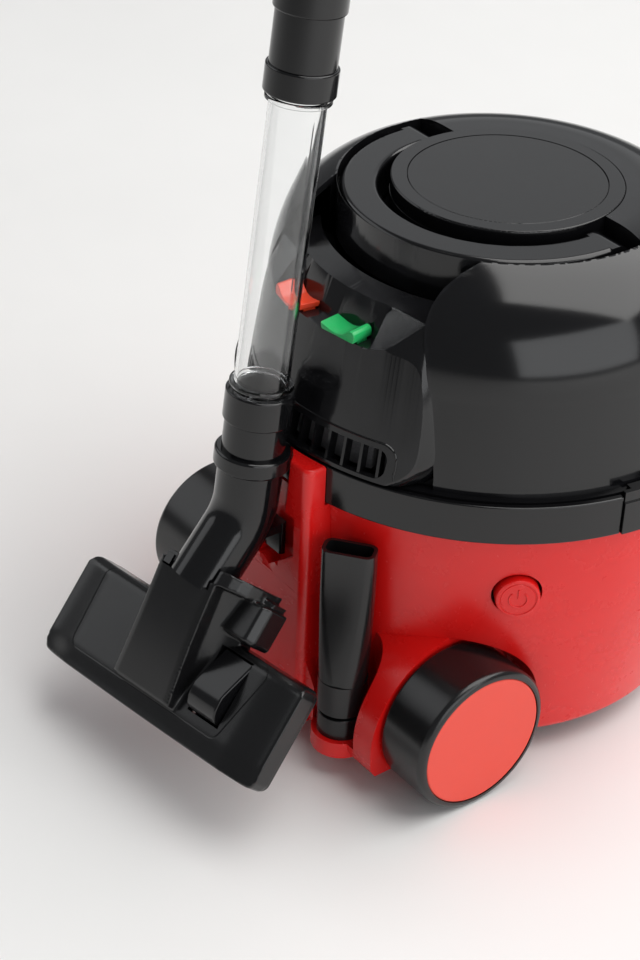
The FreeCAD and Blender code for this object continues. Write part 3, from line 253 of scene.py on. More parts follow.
def mesh_object(name, verts, faces, matrix=None):
    """Object from points in millimetres; the mesh is scaled to metres."""
    mesh = bpy.data.meshes.new(name)
    mesh.from_pydata([tuple(v) for v in verts], [], faces)
    if matrix is not None:
        mesh.transform(matrix)
    mesh.transform(Matrix.Scale(MM, 4))
    work = bmesh.new()
    work.from_mesh(mesh)
    bmesh.ops.recalc_face_normals(work, faces=work.faces)
    work.to_mesh(mesh)
    work.free()
    return add_object(name, mesh)


def loft(name, loops, matrix=None):
    """Closed skin over loops of equal length, with a flat cap at each end."""
    size = len(loops[0])
    verts = [p for loop in loops for p in loop]
    faces = []
    for row in range(len(loops) - 1):
        for i in range(size):
            j = (i + 1) % size
            a = row * size
            faces.append((a + i, a + j, a + size + j, a + size + i))
    faces.append(tuple(range(size))[::-1])
    last = (len(loops) - 1) * size
    faces.append(tuple(range(last, last + size)))
    return mesh_object(name, verts, faces, matrix)


def turned(name, profile, first=0.0, sweep=360.0, steps=180, matrix=None):
    """Solid of revolution about Z from a closed (r, z) profile."""
    whole = abs(sweep - 360.0) < 1e-6
    rows = steps if whole else steps + 1
    verts, faces = [], []
    for k in range(rows):
        turn = math.radians(first + sweep * k / steps)
        c, s = math.cos(turn), math.sin(turn)
        verts += [(r * c, r * s, z) for r, z in profile]
    size = len(profile)
    for k in range(steps):
        a, b = k * size, ((k + 1) % rows) * size
        for i in range(size):
            j = (i + 1) % size
            faces.append((a + i, a + j, b + j, b + i))
    if not whole:
        faces.append(tuple(range(size))[::-1])
        last = (rows - 1) * size
        faces.append(tuple(range(last, last + size)))
    made = mesh_object(name, verts, faces, matrix)
    work = bmesh.new()
    work.from_mesh(made.data)
    bmesh.ops.remove_doubles(work, verts=work.verts, dist=1e-7)
    bmesh.ops.recalc_face_normals(work, faces=work.faces)
    work.to_mesh(made.data)
    work.free()
    return made


def block(name, low, high, matrix=None):
    xs, ys, zs = zip(low, high)
    floor_loop = [(xs[0], ys[0]), (xs[1], ys[0]), (xs[1], ys[1]), (xs[0], ys[1])]
    return loft(name, [[(x, y, z) for x, y in floor_loop] for z in zs], matrix)


def baked(obj):
    """Apply every modifier of an object to its mesh."""
    graph = bpy.context.evaluated_depsgraph_get()
    graph.update()
    mesh = bpy.data.meshes.new_from_object(obj.evaluated_get(graph))
    old = obj.data
    obj.modifiers.clear()
    obj.data = mesh
    bpy.data.meshes.remove(old)
    return obj


def boolean(obj, others, operation):
    for other in others:
        step = obj.modifiers.new("boolean", "BOOLEAN")
        step.operation = operation
        step.solver = "EXACT"
        step.object = other
        baked(obj)
        bpy.data.objects.remove(other)
    return obj


def melted(obj, voxel, rounds):
    """Voxel remesh and smooth, which gives every edge a moulded radius."""
    step = obj.modifiers.new("remesh", "REMESH")
    step.mode = "VOXEL"
    step.voxel_size = voxel * MM
    step.use_smooth_shade = True
    relax = obj.modifiers.new("smooth", "SMOOTH")
    relax.factor = 0.5
    relax.iterations = rounds
    return baked(obj)


def gathered(name, objects):
    """One object from several, without a boolean."""
    work = bmesh.new()
    for item in objects:
        work.from_mesh(item.data)
        bpy.data.objects.remove(item)
    mesh = bpy.data.meshes.new(name)
    work.to_mesh(mesh)
    work.free()
    return add_object(name, mesh)


def rounded(obj, width, angle=30.0, segments=3):
    """Bevel the sharp edges and keep flat faces flat."""
    step = obj.modifiers.new("bevel", "BEVEL")
    step.width = width * MM
    step.segments = segments
    step.limit_method = "ANGLE"
    step.angle_limit = math.radians(angle)
    step.harden_normals = False
    step.use_clamp_overlap = True
    baked(obj)
    return smoothed(obj)


def smoothed(obj, angle=35.0):
    obj.data.polygons.foreach_set("use_smooth", [True] * len(obj.data.polygons))
    obj.data.set_sharp_from_angle(angle=math.radians(angle))
    step = obj.modifiers.new("normals", "WEIGHTED_NORMAL")
    step.keep_sharp = True
    return obj


def finished(obj, look, body, *nodes):
    """Give a piece its material, its body and the CAD nodes that it stands for."""
    obj.data.materials.clear()
    obj.data.materials.append(LOOKS[look])
    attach(obj, body)
    if nodes:
        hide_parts(*nodes)
    return obj


def tube_along(name, points, radius, sides=10, closed=True):
    """Thin tube round a polyline, as a cutter for a groove or a raised line."""
    loops = []
    count = len(points)
    for i, here in enumerate(points):
        ahead = points[(i + 1) % count if closed else min(i + 1, count - 1)]
        behind = points[(i - 1) % count if closed else max(i - 1, 0)]
        along = (Vector(ahead) - Vector(behind)).normalized()
        side = along.cross(Vector((0, 0, 1)))
        side = side.normalized() if side.length > 1e-6 else Vector((1, 0, 0))
        rise = side.cross(along)
        loops.append([Vector(here) + (side * math.cos(t) + rise * math.sin(t)) * radius
                      for t in [2 * math.pi * k / sides for k in range(sides)]])
    if not closed:
        return loft(name, loops)
    verts = [p for loop in loops for p in loop]
    faces = []
    for row in range(count):
        a, b = row * sides, ((row + 1) % count) * sides
        for i in range(sides):
            j = (i + 1) % sides
            faces.append((a + i, a + j, b + j, b + i))
    return mesh_object(name, verts, faces)


def corner_loop(corners, radius, steps=8):
    """Closed 2-D loop through the corners, each rounded to the radius."""
    loop = []
    count = len(corners)
    for i, corner in enumerate(corners):
        here = Vector(corner)
        before = (Vector(corners[i - 1]) - here).normalized()
        after = (Vector(corners[(i + 1) % count]) - here).normalized()
        half = before.angle(after) / 2
        reach = radius / math.tan(half)
        centre = here + (before + after).normalized() * (radius / math.sin(half))
        start = here + before * reach - centre
        end = here + after * reach - centre
        for k in range(steps + 1):
            t = k / steps
            loop.append(tuple(centre + start.lerp(end, t).normalized() * radius))
    return loop


def smooth_step(value, start, end):
    t = min(1.0, max(0.0, (value - start) / (end - start)))
    return t * t * (3 - 2 * t)


# ---- floor head -------------------------------------------------------------
HEAD_PLACE = (Matrix.Translation((0, -176.3, 52.0)) @ Matrix.Rotation(math.radians(5.6), 4, "Z")
              @ Matrix.Rotation(math.radians(-3.3), 4, "Y")
              @ Matrix.Rotation(math.radians(48.0), 4, "X"))
HEAD_HALF = 71.5
HEAD_LOW = -12.0


def head_top(x, y):
    """Height of the cover: crowned, falling away at its ends, rear and front."""
    fall = 2.6 * smooth_step(abs(x), 50.0, 70.0) + 3.4 * smooth_step(y, 21.0, 27.0)
    fall += 1.3 * smooth_step(-y, 12.0, 23.5)
    return 0.3 + 0.5 * (1.0 - (x / 69.0) ** 2) - fall


def head_slab():
    """Cover of the head as sections across its length."""
    sections = []
    for k in range(93):
        x = -HEAD_HALF + 2 * HEAD_HALF * k / 92
        end = max(0.0, abs(x) - (HEAD_HALF - 5.0)) / 5.0
        pull = 5.0 * (1.0 - math.sqrt(max(0.0, 1.0 - end * end))) * 0.8
        bow = 2.2 * (1.0 - (x / HEAD_HALF) ** 2)
        front, rear = -23.0 - bow * 0.25 + pull, 25.2 - pull
        ys = [front + (rear - front) * i / 46 for i in range(47)]
        top = [(x, y, head_top(x, y)) for y in ys]
        sections.append([(x, front, HEAD_LOW)] + top + [(x, rear, HEAD_LOW)])
    return loft("head_slab", sections)


def hood_section(y):
    """Left foot, left top, right top and right foot of the hood at one depth."""
    t = (y + 12.5) / 55.5
    left = -20.0 + 5.8 * t + 1.2 * math.sin(math.pi * t)
    right = 17.3 + 2.9 * t
    height = 5.6 + 15.6 * t + 0.9 * math.sin(math.pi * t)
    return [(left - 1.2, y, -3.0), (left, y, height - 0.6), (left + 3.0, y, height),
            (right - 3.0, y, height), (right, y, height - 0.4), (right + 0.6, y, -3.0)]


def head_hood():
    """Hood that rises towards the rear."""
    return loft("head_hood", [hood_section(-12.5 + 55.5 * k / 24) for k in range(25)])


def head_scoop():
    """Hollow flank on the hood's right side, ending in a rounded shoulder."""
    sections = []
    for k in range(25):
        t = k / 24
        y = -2.0 + 50.0 * t
        top = 6.0 + 13.0 * t
        reach = 3.0 + 15.0 * t
        edge = 17.6 + 1.6 * t
        loop = [(12.0, y, -9.0), (12.0, y, top)]
        for i in range(13):
            u = i / 12
            sag = (1.0 - u) ** 2.0
            loop.append((edge + reach * u, y, -2.0 + (top + 1.0) * sag + 2.5 * t * u))
        loop.append((edge + reach, y, -9.0))
        sections.append(loop)
    return loft("head_scoop", sections)


def head_shoulder():
    """Curved wall behind the flank, from the hood's corner to the hook block."""
    outline = [(18.0, -9.0), (18.0, 20.0), (20.5, 20.2), (24.5, 18.4), (28.0, 14.8), (30.4, 10.2),
               (31.6, 4.0), (32.0, -9.0)]
    return loft("head_shoulder", [[(x, y + 0.12 * (x - 18.0), z) for x, z in outline]
                                  for y in (43.0, 49.5)])


def head_hook():
    """Block beside the hood that the parking hook and lead loop round."""
    low = [(22.0, 27.5), (38.0, 27.5), (39.5, 29.0), (39.5, 45.5), (22.0, 45.5)]
    high = [(22.5, 28.5), (35.6, 28.5), (36.6, 29.4), (36.6, 44.8), (22.5, 44.8)]
    return loft("head_hook", [[(x, y, -9.0) for x, y in low], [(x, y, 2.4) for x, y in low],
                              [(x, y, 6.0) for x, y in high]])


def pedal_profile():
    """Side of the pedal as (y, z), from its rear foot over the top to its front foot."""
    return [(21.4, -9.0), (21.4, 0.2), (5.6, 6.3), (3.4, 6.9), (0.4, 6.7), (-3.0, 5.9), (-5.6, 4.4),
            (-7.4, 2.4), (-8.4, 0.2), (-8.6, -9.0)]


def floor_head():
    """Cover with hood and hook, the tray under the pedal's slot and the neck's flange."""
    shell = gathered("floor_head_cover", [head_slab(), head_hood(), head_scoop(), head_shoulder(),
                                          head_hook()])
    melted(shell, 0.55, 5)
    hollow = block("hollow", (-66.0, -20.0, -14.0), (66.0, 22.0, -3.4))
    room = block("room", (-12.4, 39.6, -20.0), (17.9, 70.0, 40.0))
    well = turned("well", [(0, -15.7), (12.0, -15.7), (12.0, 14.6), (0, 14.6)], 0.0, 360.0, 64,
                  Matrix.Translation((3.3, 35, 6)) @ Matrix.Rotation(math.pi / 2, 4, "Y"))
    slot = block("slot", (23.8, -9.1, -20.0), (43.2, 22.2, 20.0))
    line = corner_loop([(-56.6, 25.0), (-54.0, -14.7), (44.0, -14.0), (54.0, 24.0)], 5.0)
    groove = tube_along("groove", dense([(x, y, head_top(x, y) + 0.12) for x, y in line]), 0.42, 8)
    boolean(shell, [hollow, room, well, slot, groove], "DIFFERENCE")
    shell.data.transform(scaled_place(HEAD_PLACE))
    smoothed(shell, 40.0)
    finished(shell, "black_satin", "floor_head", "floor_head_shell")
    tray = block("floor_head_tray", (21.0, -11.5, -9.8), (46.0, 20.5, -8.8))
    tray.data.transform(scaled_place(HEAD_PLACE))
    finished(tray, "black_inner", "floor_head")
    flange = block("neck_flange", (-12.0, 42.6, 6.0), (14.0, 46.4, 19.6))
    boolean(flange, [block("ear", (-12.1, 40.4, 6.0), (-8.0, 45.0, 20.4))], "UNION")
    rounded(flange, 0.9, 30.0, 4)
    flange.data.transform(scaled_place(HEAD_PLACE))
    finished(flange, "black_gloss", "wand")


def dense(points, reach=2.0):
    """Closed 3-D polyline with no long gaps, its height taken from the cover."""
    out = []
    for a, b in zip(points, points[1:] + points[:1]):
        count = max(1, int((Vector(b) - Vector(a)).length / reach))
        for k in range(count):
            p = Vector(a).lerp(Vector(b), k / count)
            out.append((p.x, p.y, head_top(p.x, p.y) + 0.12))
    return out


def scaled_place(matrix):
    """The same placement for a mesh that is already in metres."""
    return Matrix.Scale(MM, 4) @ matrix @ Matrix.Scale(1 / MM, 4)


def foot_pedal():
    """Curved pedal cap in the cover's slot."""
    loops = []
    for x in (24.6, 25.2, 33.5, 41.8, 42.4):
        side = 0.6 if x in (24.6, 42.4) else 0.0
        loops.append([(x + 0.06 * (y - 6.0), y * (1 - 0.02 * side),
                       z - side * (0.9 if z > 0 else 0)) for y, z in pedal_profile()])
    cap = loft("foot_pedal_cap", loops)
    rounded(cap, 0.8, 24.0, 4)
    cap.data.transform(scaled_place(HEAD_PLACE))
    finished(cap, "black_gloss", "foot_pedal", "pedal")


# ---- CAD shapes carried over with moulded edges -------------------------------
def soft_copy(node, look, body, width):
    """A CAD node's own shape with its sharp edges rounded as moulding leaves them."""
    source = NODES[node]
    work = bmesh.new()
    work.from_mesh(source.data)
    bmesh.ops.remove_doubles(work, verts=work.verts, dist=2e-6)
    bmesh.ops.dissolve_limit(work, angle_limit=math.radians(0.4), verts=work.verts,
                             edges=work.edges)
    mesh = bpy.data.meshes.new(node + "_moulded")
    work.to_mesh(mesh)
    work.free()
    made = add_object(mesh.name, mesh)
    if width:
        rounded(made, width, MOULDED_ANGLE, 3)
    else:
        smoothed(made, MOULDED_ANGLE)
    return finished(made, look, body, node)


MOULDED_ANGLE = 28.0
# node, look, body and edge width in mm; a width of 0 only smooths the shading
MOULDED = (
    ("rear_housing", "red_body", "body", 0.7),
    ("parking_tower", "red_body", "body", 0.6),
    ("clamp_band", "black_gloss", "body", 0.0),
    ("top_plate", "black_gloss", "body", 0.0),
    ("top_disc", "black_satin", "body", 0.0),
    ("carry_handle", "black_gloss", "handle", 0.6),
    ("right_latch", "black_gloss", "right_clip", 0.45),
    ("left_latch", "black_gloss", "left_clip", 0.45),
    ("tool_sockets", "black_satin", "body", 0.4),
    ("hose_inlet_collar", "black_gloss", "body", 0.5),
    ("right_tyre", "tyre_black", "right_wheel", 0.0),
    ("left_tyre", "tyre_black", "left_wheel", 0.0),
    ("neck_elbow", "black_gloss", "wand", 0.5),
    ("swivel_collar", "black_gloss", "wand", 0.0),
    ("bent_handle", "black_gloss", "wand", 0.5),
)


def moulded_parts():
    for node, look, body, width in MOULDED:
        soft_copy(node, look, body, width)


# ---- dome ---------------------------------------------------------------------
DOME_FOOT_R = 108.5
DOME_FOOT_Z = 149.0
SHOULDER_R = 104.3
SHOULDER_Z = 185.8
CROWN_R = 58.3              # where the quarter ellipse of the crown starts
CROWN_REACH = (46.0, 52.0)  # its half axes
CROWN_STEPS = 40


def dome_side(inset, low):
    """Outside of the dome from foot to crown as (r, z), moved inwards by inset."""
    foot_r = DOME_FOOT_R - inset
    side = [(foot_r, low), (foot_r, DOME_FOOT_Z), (SHOULDER_R - inset, SHOULDER_Z)]
    across, up = (reach - inset for reach in CROWN_REACH)
    for k in range(1, CROWN_STEPS + 1):
        t = math.pi / 2 * k / CROWN_STEPS
        side.append((CROWN_R + across * math.cos(t), SHOULDER_Z + up * math.sin(t)))
    return side


def xz_prism(name, outline, y_low, y_high):
    """Straight prism along Y over an outline of (x, z) points."""
    return loft(name, [[(x, y, z) for x, z in outline] for y in (y_low, y_high)])


def dome():
    """Domed cover with a ring groove, a middle well and hole and the panel's window."""
    outer = turned("dome_cover", dome_side(0.0, 146.2) + [(0.0, 237.8), (0.0, 146.2)], steps=288)
    inner = turned("inner", dome_side(2.6, 140.0) + [(0.0, 235.2), (0.0, 140.0)], steps=144)
    keep = turned("keep", [(47.0, 213.4), (75.4, 213.4), (75.4, 260), (47.0, 260)], steps=144)
    rear = block("rear", (-130, 13.6, 100), (130, 140, 300))
    boolean(keep, [rear], "DIFFERENCE")
    boolean(inner, [keep], "DIFFERENCE")
    groove = turned("groove", [(50.3, 216.0), (72.9, 216.0), (72.9, 260), (50.3, 260)], steps=288)
    rear = block("rear", (-130, 11.0, 100), (130, 140, 300))
    boolean(groove, [rear], "DIFFERENCE")
    well = turned("well", [(0, 231.0), (50.4, 231.0), (50.4, 260), (0, 260)], steps=288)
    hole = turned("hole", [(0, 195.0), (44.2, 195.0), (44.2, 240), (0, 240)], steps=96)
    side = [(65.2, 140.0), (64.6, 151.0), (62.8, 163.0), (60.2, 177.0), (57.4, 191.0),
            (54.6, 201.0), (51.0, 209.0), (48.2, 215.5), (46.6, 221.7), (46.0, 227.0),
            (46.6, 231.5), (48.5, 236.5), (50.0, 250.0)]
    outline = side + [(-x, z) for x, z in reversed(side)]
    window = xz_prism("window", outline, -140.0, -30.0)
    core = turned("core", [(0, 100), (73.0, 100), (73.0, 260), (0, 260)], steps=144)
    boolean(window, [core], "DIFFERENCE")
    boolean(outer, [inner, groove, well, hole, window], "DIFFERENCE")
    foot = turned("foot", [(106.2, 146.3), (111.6, 146.3), (111.6, 143.4), (106.2, 143.4)],
                  steps=288)
    cover = rounded(outer, 0.9, 32.0, 4)
    finished(cover, "black_gloss", "body", "dome_shell")
    finished(smoothed(foot), "black_gloss", "body")


# ---- control panel --------------------------------------------------------------
LEDGE_Z = 200.5
LEDGE_FRONT_R = 103.5
LEDGE_BACK_R = 95.0
LEDGE_SWEEP = 36.8          # degrees between the notch's side walls
PANEL_FOOT_Z = 147.0
PANEL_FOOT_R = 115.0
PANEL_IN_R = 73.2
PANEL_TOP_Z = 214.6
PANEL_TOP_R = 100.6
PANEL_WALL = 2.8
RIM_R = (79.0, 89.5)        # the top rises from the outer radius to the inner one
RIM_Z = 216.6
STEP_R = 78.4               # step down inside the rim
STEP_Z = 209.0
# plane of the right cheek: ledge's front end, top of the notch's back wall, outer corner
FACET_A = Vector((31.5, -98.6, LEDGE_Z))
FACET_B = Vector((29.5, -84.5, PANEL_TOP_Z))
FACET_C = Vector((46.8, -82.0, PANEL_TOP_Z + 0.4))


def panel_r(z):
    """Radius of the panel's sloping face."""
    up = (z - PANEL_FOOT_Z) / (LEDGE_Z - PANEL_FOOT_Z)
    return PANEL_FOOT_R + (LEDGE_FRONT_R - PANEL_FOOT_R) * up


def facet_z(x, y):
    """Height of the sloping cheek beside the ledge, for the right side."""
    normal = (FACET_B - FACET_A).cross(FACET_C - FACET_A)
    return FACET_A.z - (normal.x * (x - FACET_A.x) + normal.y * (y - FACET_A.y)) / normal.z


def facet_cutter(hand, drop):
    """Everything above one cheek, lowered by drop for the hollow underneath."""
    loops = []
    for x in (29.0 - drop, 80.0):
        front = facet_z(x, -135) - drop
        rear = facet_z(x, -55) - drop
        loops.append([(hand * x, -135, front), (hand * x, -55, rear),
                      (hand * x, -55, 290), (hand * x, -135, 290)])
    return loft("facet", loops)


def between(first, second, share):
    """Point or row of points part of the way from one to the other."""
    if isinstance(first, list):
        return [a.lerp(b, share) for a, b in zip(first, second)]
    return first.lerp(second, share)


def cut_corners(items, rounds=2):
    """Smooth an open chain of points, or of rows of points, and keep its ends."""
    for _ in range(rounds):
        smooth = [items[0]]
        for first, second in zip(items, items[1:]):
            smooth += [between(first, second, 0.25), between(first, second, 0.75)]
        items = smooth + [items[-1]]
    return items


def panel_plan(grow):
    """The panel's plan outline at several heights, rounded where it meets the dome."""
    halves = []
    # height, half width beside the dome and half width at the front
    for z, wide, corner in ((146.0, 59.0, 50.0), (151.0, 63.0, 52.0), (158.0, 64.6, 53.0),
                            (170.0, 62.6, 52.5), (185.0, 59.6, 50.0)):
        halves.append((z, [(wide, -60.0), (wide + 0.4, -80.0), (wide - 0.2, -86.0),
                           (wide - 1.6, -90.5), ((wide + corner) / 2 + 1.2, -97.5),
                           (corner + 0.5, -103.5), (corner, -106.0), (corner, -135.0)]))
    halves.append((LEDGE_Z, [(56.0, -60.0), (56.4, -80.0), (55.6, -84.5), (53.5, -88.5),
                             (48.0, -92.4), (41.0, -95.6), (33.0, -98.9), (30.0, -135.0)]))
    halves.append((209.0, [(52.0, -60.0), (52.4, -78.0), (51.6, -83.0), (49.5, -85.4),
                           (45.5, -87.4), (40.5, -90.2), (34.0, -97.0), (30.0, -135.0)]))
    halves.append((219.0, [(48.6, -60.0), (49.0, -72.0), (48.5, -76.0), (47.8, -78.5),
                           (46.2, -80.5), (43.0, -84.0), (36.0, -91.5), (30.0, -135.0)]))
    rows = cut_corners([cut_corners([Vector((x + grow, y, z)) for x, y in half])
                        for z, half in halves])
    loops = [row + [Vector((-p.x, p.y, p.z)) for p in row[::-1]] for row in rows]
    return loft("panel_plan", loops)


def panel_solid(inset):
    """Panel with its ledge and cheeks, or with an inset the hollow inside it."""
    profile = [(PANEL_FOOT_R - inset, PANEL_FOOT_Z), (PANEL_TOP_R - inset, PANEL_TOP_Z - inset),
               (RIM_R[1] + inset, PANEL_TOP_Z - inset), (RIM_R[0] + inset, RIM_Z - inset),
               (STEP_R + inset, STEP_Z - inset), (PANEL_IN_R + inset, STEP_Z - inset)]
    if inset:
        foot = PANEL_FOOT_Z - 4.0
        profile = [(PANEL_IN_R + inset, foot), (PANEL_FOOT_R - inset, foot)] + profile
    else:
        profile = [(PANEL_IN_R, PANEL_FOOT_Z)] + profile
    body = turned("control_panel_cover", profile, -135.0, 90.0, 180)
    notch = [(LEDGE_BACK_R, LEDGE_Z - inset), (140.0, LEDGE_Z - inset), (140.0, 240.0),
             (79.5, 240.0)]
    sweep = LEDGE_SWEEP + 2 * inset
    cutters = [turned("notch", notch, -90.0 - sweep / 2, sweep, 48)]
    cutters += [facet_cutter(hand, 1.5 * inset) for hand in (1, -1)]
    return boolean(body, cutters, "DIFFERENCE")


def panel_frame_line():
    """Raised line round the louvres, following the panel's face."""
    outline = [(-55.8, 147.6), (-53.2, 164.4), (53.2, 164.4), (55.8, 147.6)]
    points = [p for p in corner_loop(outline, 7.0, 10) if p[1] > 152.0]
    points = [(-55.7, 147.4)] + points + [(55.7, 147.4)]
    path = []
    for (xa, za), (xb, zb) in zip(points, points[1:]):
        count = max(1, int(math.hypot(xb - xa, zb - za) / 2.0))
        for k in range(count):
            x = xa + (xb - xa) * k / count
            z = za + (zb - za) * k / count
            path.append((x, -math.sqrt(panel_r(z) ** 2 - x * x) + 0.1, z))
    return tube_along("vent_frame_line", path, 0.55, 8, closed=False)


ROCKER_AT = (16.4, -97.8)
ROCKER_TURN = math.radians(8.5)


def rocker_place(hand):
    """Where a rocker stands on the ledge, turned to follow the ledge's curve."""
    x, y = ROCKER_AT
    return Matrix.Translation((hand * x, y, 0)) @ Matrix.Rotation(hand * ROCKER_TURN, 4, "Z")


def control_panel():
    """Hollow panel with the louvres' opening and a pocket for each rocker."""
    panel = panel_solid(0.0)
    room = boolean(panel_solid(PANEL_WALL), [panel_plan(-PANEL_WALL)], "INTERSECT")
    boolean(panel, [panel_plan(0.0)], "INTERSECT")
    opening = corner_loop([(-50.8, 148.6), (-50.8, 161.6), (50.8, 161.6), (50.8, 148.6)], 4.6)
    cutters = [room, xz_prism("opening", opening, -140.0, -60.0)]
    for hand in (-1, 1):
        low, high = (-9.5, -3.0, 190.0), (9.5, 5.0, 212.0)
        cutters.append(block("pocket", low, high, rocker_place(hand)))
    boolean(panel, cutters, "DIFFERENCE")
    rounded(panel, 0.7, 28.0, 3)
    finished(panel, "black_gloss", "body", "control_panel")


LOUVRE_PITCH = 7.85
LOUVRE_R = 112.0
LOUVRES_PER_SIDE = 6
LOUVRE_HALF = 0.65
LOUVRE_DEPTH = 5.0
LOUVRE_Z = (147.6, 162.6)


def louvres():
    """Upright bars in the panel's opening, the line round them and a dark skin behind."""
    bars = []
    for place in range(-LOUVRES_PER_SIDE, LOUVRES_PER_SIDE + 1):
        turn = math.asin(LOUVRE_PITCH * place / LOUVRE_R)
        loops = []
        for z in LOUVRE_Z:
            front = -(panel_r(z) - 0.5)
            back = front + LOUVRE_DEPTH
            loops.append([(-LOUVRE_HALF, front, z), (LOUVRE_HALF, front, z),
                          (LOUVRE_HALF, back, z), (-LOUVRE_HALF, back, z)])
        bars.append(loft("bar", loops, Matrix.Rotation(turn, 4, "Z")))
    grille = gathered("vent_grille_bars", bars + [panel_frame_line()])
    finished(smoothed(grille, 40.0), "black_gloss", "body", "vent_grille")
    profile = [(103.2, 145.5), (104.4, 145.5), (102.0, 196.0), (100.8, 196.0)]
    skin = turned("vent_backing", profile, -126.0, 72.0, 96)
    finished(smoothed(skin), "black_inner", "body")


# ---- pivot pins, switches and button --------------------------------------------
HANDLE_PIN = (2.5, 51.5, 73.5)  # radius, inner end and outer end
HANDLE_PIN_Z = 227.0
ROCKER_PIN = (1.2, -8.0, 8.0)
ROCKER_PIN_Z = 198.0


def pin(size, steps, place):
    radius, low, high = size
    profile = [(0, low), (radius, low), (radius, high), (0, high)]
    return turned("pin", profile, steps=steps, matrix=place)


def pivot_pins():
    """Steel pins of the handle and of the two turned rockers."""
    pins = []
    for hand in (-1, 1):
        lie = Matrix.Rotation(hand * math.pi / 2, 4, "Y")
        pins.append(pin(HANDLE_PIN, 32, Matrix.Translation((0, 0, HANDLE_PIN_Z)) @ lie))
        turned_place = rocker_place(hand) @ Matrix.Translation((0, 0, ROCKER_PIN_Z)) @ lie
        pins.append(pin(ROCKER_PIN, 24, turned_place))
    finished(smoothed(gathered("pivot_pin_set", pins)), "steel", "body", "pivot_pins")


def rocker(name, hand, look, body, node):
    """Saddle-shaped rocker: a thin lifted end, a hollow and a rolled end."""
    top = [(-9.5, 203.9), (-7.0, 203.2), (-4.0, 202.5), (-1.0, 202.2), (1.6, 202.6), (3.8, 203.7),
           (5.6, 205.2), (7.0, 206.1), (8.4, 206.0), (9.3, 205.0), (9.6, 203.6), (9.2, 201.6)]
    under = [(8.8, 201.0), (-8.8, 201.0), (-9.3, 202.4)]
    loops = []
    for y, shrink in ((-5.4, 0.5), (-4.8, 0.0), (0.0, 0.0), (4.7, 0.0), (5.3, 0.5)):
        loops.append([(hand * x * (1 - 0.03 * shrink), y,
                       z - shrink * (0.5 if z > 202 else 0)) for x, z in top + under])
    made = loft(name, loops, rocker_place(hand))
    stem = block("stem", (-8.4, -2.0, 196.0), (8.4, 3.8, 201.6), rocker_place(hand))
    boolean(made, [stem], "UNION")
    rounded(made, 0.35, 26.0, 3)
    finished(made, look, body, node)


BUTTON_TURN = math.radians(-33.0)


def button_place():
    """Local +Z points out of the drum, local +Y up."""
    out = Vector((math.cos(BUTTON_TURN), math.sin(BUTTON_TURN), 0))
    up = Vector((0, 0, 1))
    side = up.cross(out)
    at = Vector((0, 0, 99.0))
    return Matrix(((side.x, up.x, out.x, at.x), (side.y, up.y, out.y, at.y),
                   (side.z, up.z, out.z, at.z), (0, 0, 0, 1)))


def power_button():
    """Push button with a raised rim line and a raised power symbol."""
    face = 114.0
    profile = [(0.0, 104.0), (9.6, 104.0), (9.6, face - 1.0), (9.3, face - 0.3), (8.6, face),
               (8.1, face), (7.9, face - 0.35), (7.5, face - 0.35), (7.3, face - 0.05),
               (4.0, face + 0.1), (0.0, face + 0.15)]
    cap = turned("power_button_cap", profile, steps=96, matrix=button_place())
    arc = [(3.9 * math.sin(t), 3.9 * math.cos(t), face + 0.1)
           for t in [math.radians(42 + 276 * k / 40) for k in range(41)]]
    symbol = tube_along("symbol", arc, 0.42, 10, closed=False)
    bar = tube_along("bar", [(0, 0.6, face + 0.12), (0, 2.6, face + 0.12), (0, 4.9, face + 0.1)],
                     0.42, 10, closed=False)
    for part in (symbol, bar):
        part.data.transform(scaled_place(button_place()))
    made = gathered("power_button_symbol", [symbol, bar])
    finished(smoothed(cap, 30.0), "red_body", "button", "power_button")
    finished(smoothed(made, 50.0), "red_body", "button")


# ---- stage ----------------------------------------------------------------
CAMERA_AZIMUTH = math.radians(51.55)
CAMERA_ELEVATION = math.radians(33.31)
CAMERA_DISTANCE = 1.0615
CAMERA_SIDE = -0.07422
CAMERA_RISE = 0.07972
CAMERA_ROLL = math.radians(2.6)
CAMERA_LENS = 85.74


def add_camera():
    ca, sa = math.cos(CAMERA_AZIMUTH), math.sin(CAMERA_AZIMUTH)
    ce, se = math.cos(CAMERA_ELEVATION), math.sin(CAMERA_ELEVATION)
    back = Vector((sa * ce, -ca * ce, se))
    right = Vector((ca, sa, 0.0))
    up = back.cross(right)
    place = right * CAMERA_SIDE + Vector((0, 0, CAMERA_RISE)) + back * CAMERA_DISTANCE
    cr, sr = math.cos(CAMERA_ROLL), math.sin(CAMERA_ROLL)
    x_axis = right * cr + up * sr
    y_axis = up * cr - right * sr
    camera = bpy.data.objects.new("camera", bpy.data.cameras.new("camera"))
    camera.data.lens = CAMERA_LENS
    camera.data.sensor_width = 36.0
    camera.matrix_world = Matrix((
        (x_axis.x, y_axis.x, back.x, place.x),
        (x_axis.y, y_axis.y, back.y, place.y),
        (x_axis.z, y_axis.z, back.z, place.z),
        (0.0, 0.0, 0.0, 1.0)))
    bpy.context.scene.collection.objects.link(camera)
    bpy.context.scene.camera = camera


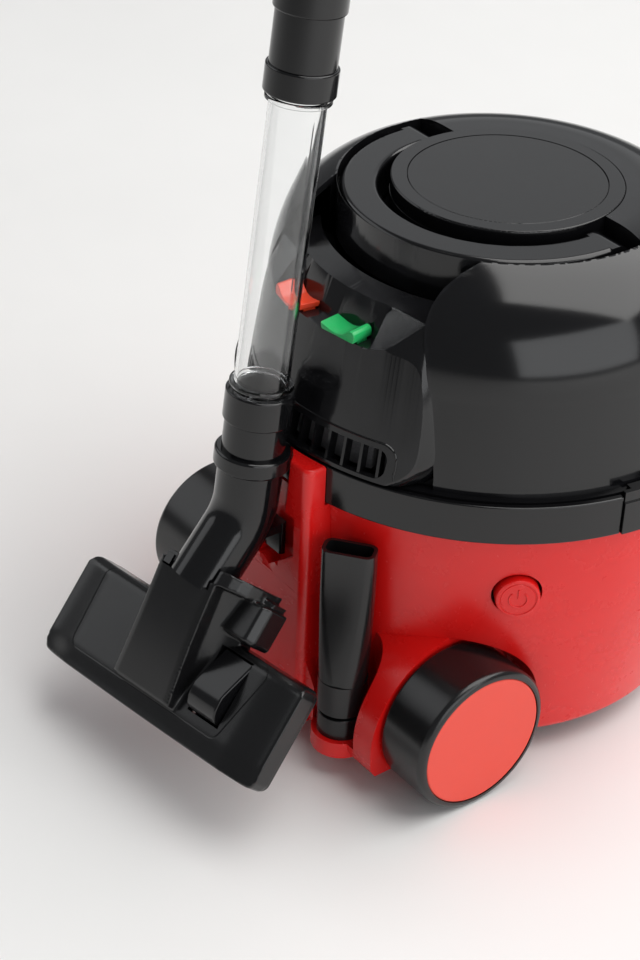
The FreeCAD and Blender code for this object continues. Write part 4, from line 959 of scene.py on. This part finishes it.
def add_light(name, place, target, size, power, colour):
    data = bpy.data.lights.new(name, "AREA")
    data.shape = "RECTANGLE"
    data.size, data.size_y = size
    data.energy = power
    data.color = colour
    light = bpy.data.objects.new(name, data)
    light.location = place
    light.rotation_mode = "QUATERNION"
    light.rotation_quaternion = (Vector(target) - Vector(place)).to_track_quat("-Z", "Y")
    bpy.context.scene.collection.objects.link(light)


WARM = (1.0, 0.99, 0.975)
COOL = (0.97, 0.985, 1.0)


def add_stage():
    """Pale paper floor, dim world and four soft area lights."""
    mesh = bpy.data.meshes.new("floor")
    half = 4.0
    mesh.from_pydata([(-half, -half, 0), (half, -half, 0), (half, half, 0), (-half, half, 0)],
                     [], [(0, 1, 2, 3)])
    floor = bpy.data.objects.new("floor", mesh)
    bpy.context.scene.collection.objects.link(floor)
    s = Shader("floor_paper")
    s.colour(s.mix(s.spread(s.noise(3.0, 3.0), 0, 1), (0.80, 0.795, 0.785), (0.83, 0.825, 0.815)))
    s.roughness(s.spread(s.noise(40.0), 0.55, 0.7))
    s.bump(s.noise(900.0, 3.0), 0.05, 0.0002)
    floor.data.materials.append(s.material)
    bpy.context.scene.view_settings.view_transform = "Standard"
    world = bpy.data.worlds.new("studio")
    bpy.context.scene.world = world
    world.use_nodes = True
    sky = world.node_tree.nodes["Background"].inputs
    sky["Color"].default_value = (0.95, 0.97, 1.0, 1.0)
    sky["Strength"].default_value = 0.17
    add_light("key", (0.6, 0.95, 2.1), (0.0, 0.1, 0.0), (2.6, 2.6), 74.0, WARM)
    add_light("side", (1.8, -0.1, 0.65), (0.0, 0.0, 0.12), (2.0, 1.1), 13.0, COOL)
    add_light("left", (-1.7, -1.0, 1.3), (0.0, -0.1, 0.15), (2.0, 1.6), 10.0, COOL)
    add_light("back", (-1.5, 1.6, 1.3), (0.0, 0.0, 0.15), (2.2, 1.4), 4.5, COOL)


dress_nodes()
floor_head()
foot_pedal()
moulded_parts()
dome()
control_panel()
louvres()
pivot_pins()
rocker("green_rocker_cap", 1, "green_switch", "green_switch", "green_rocker")
rocker("red_rocker_cap", -1, "red_switch", "red_switch", "red_rocker")
power_button()
add_stage()
add_camera()
bpy.context.view_layer.update()
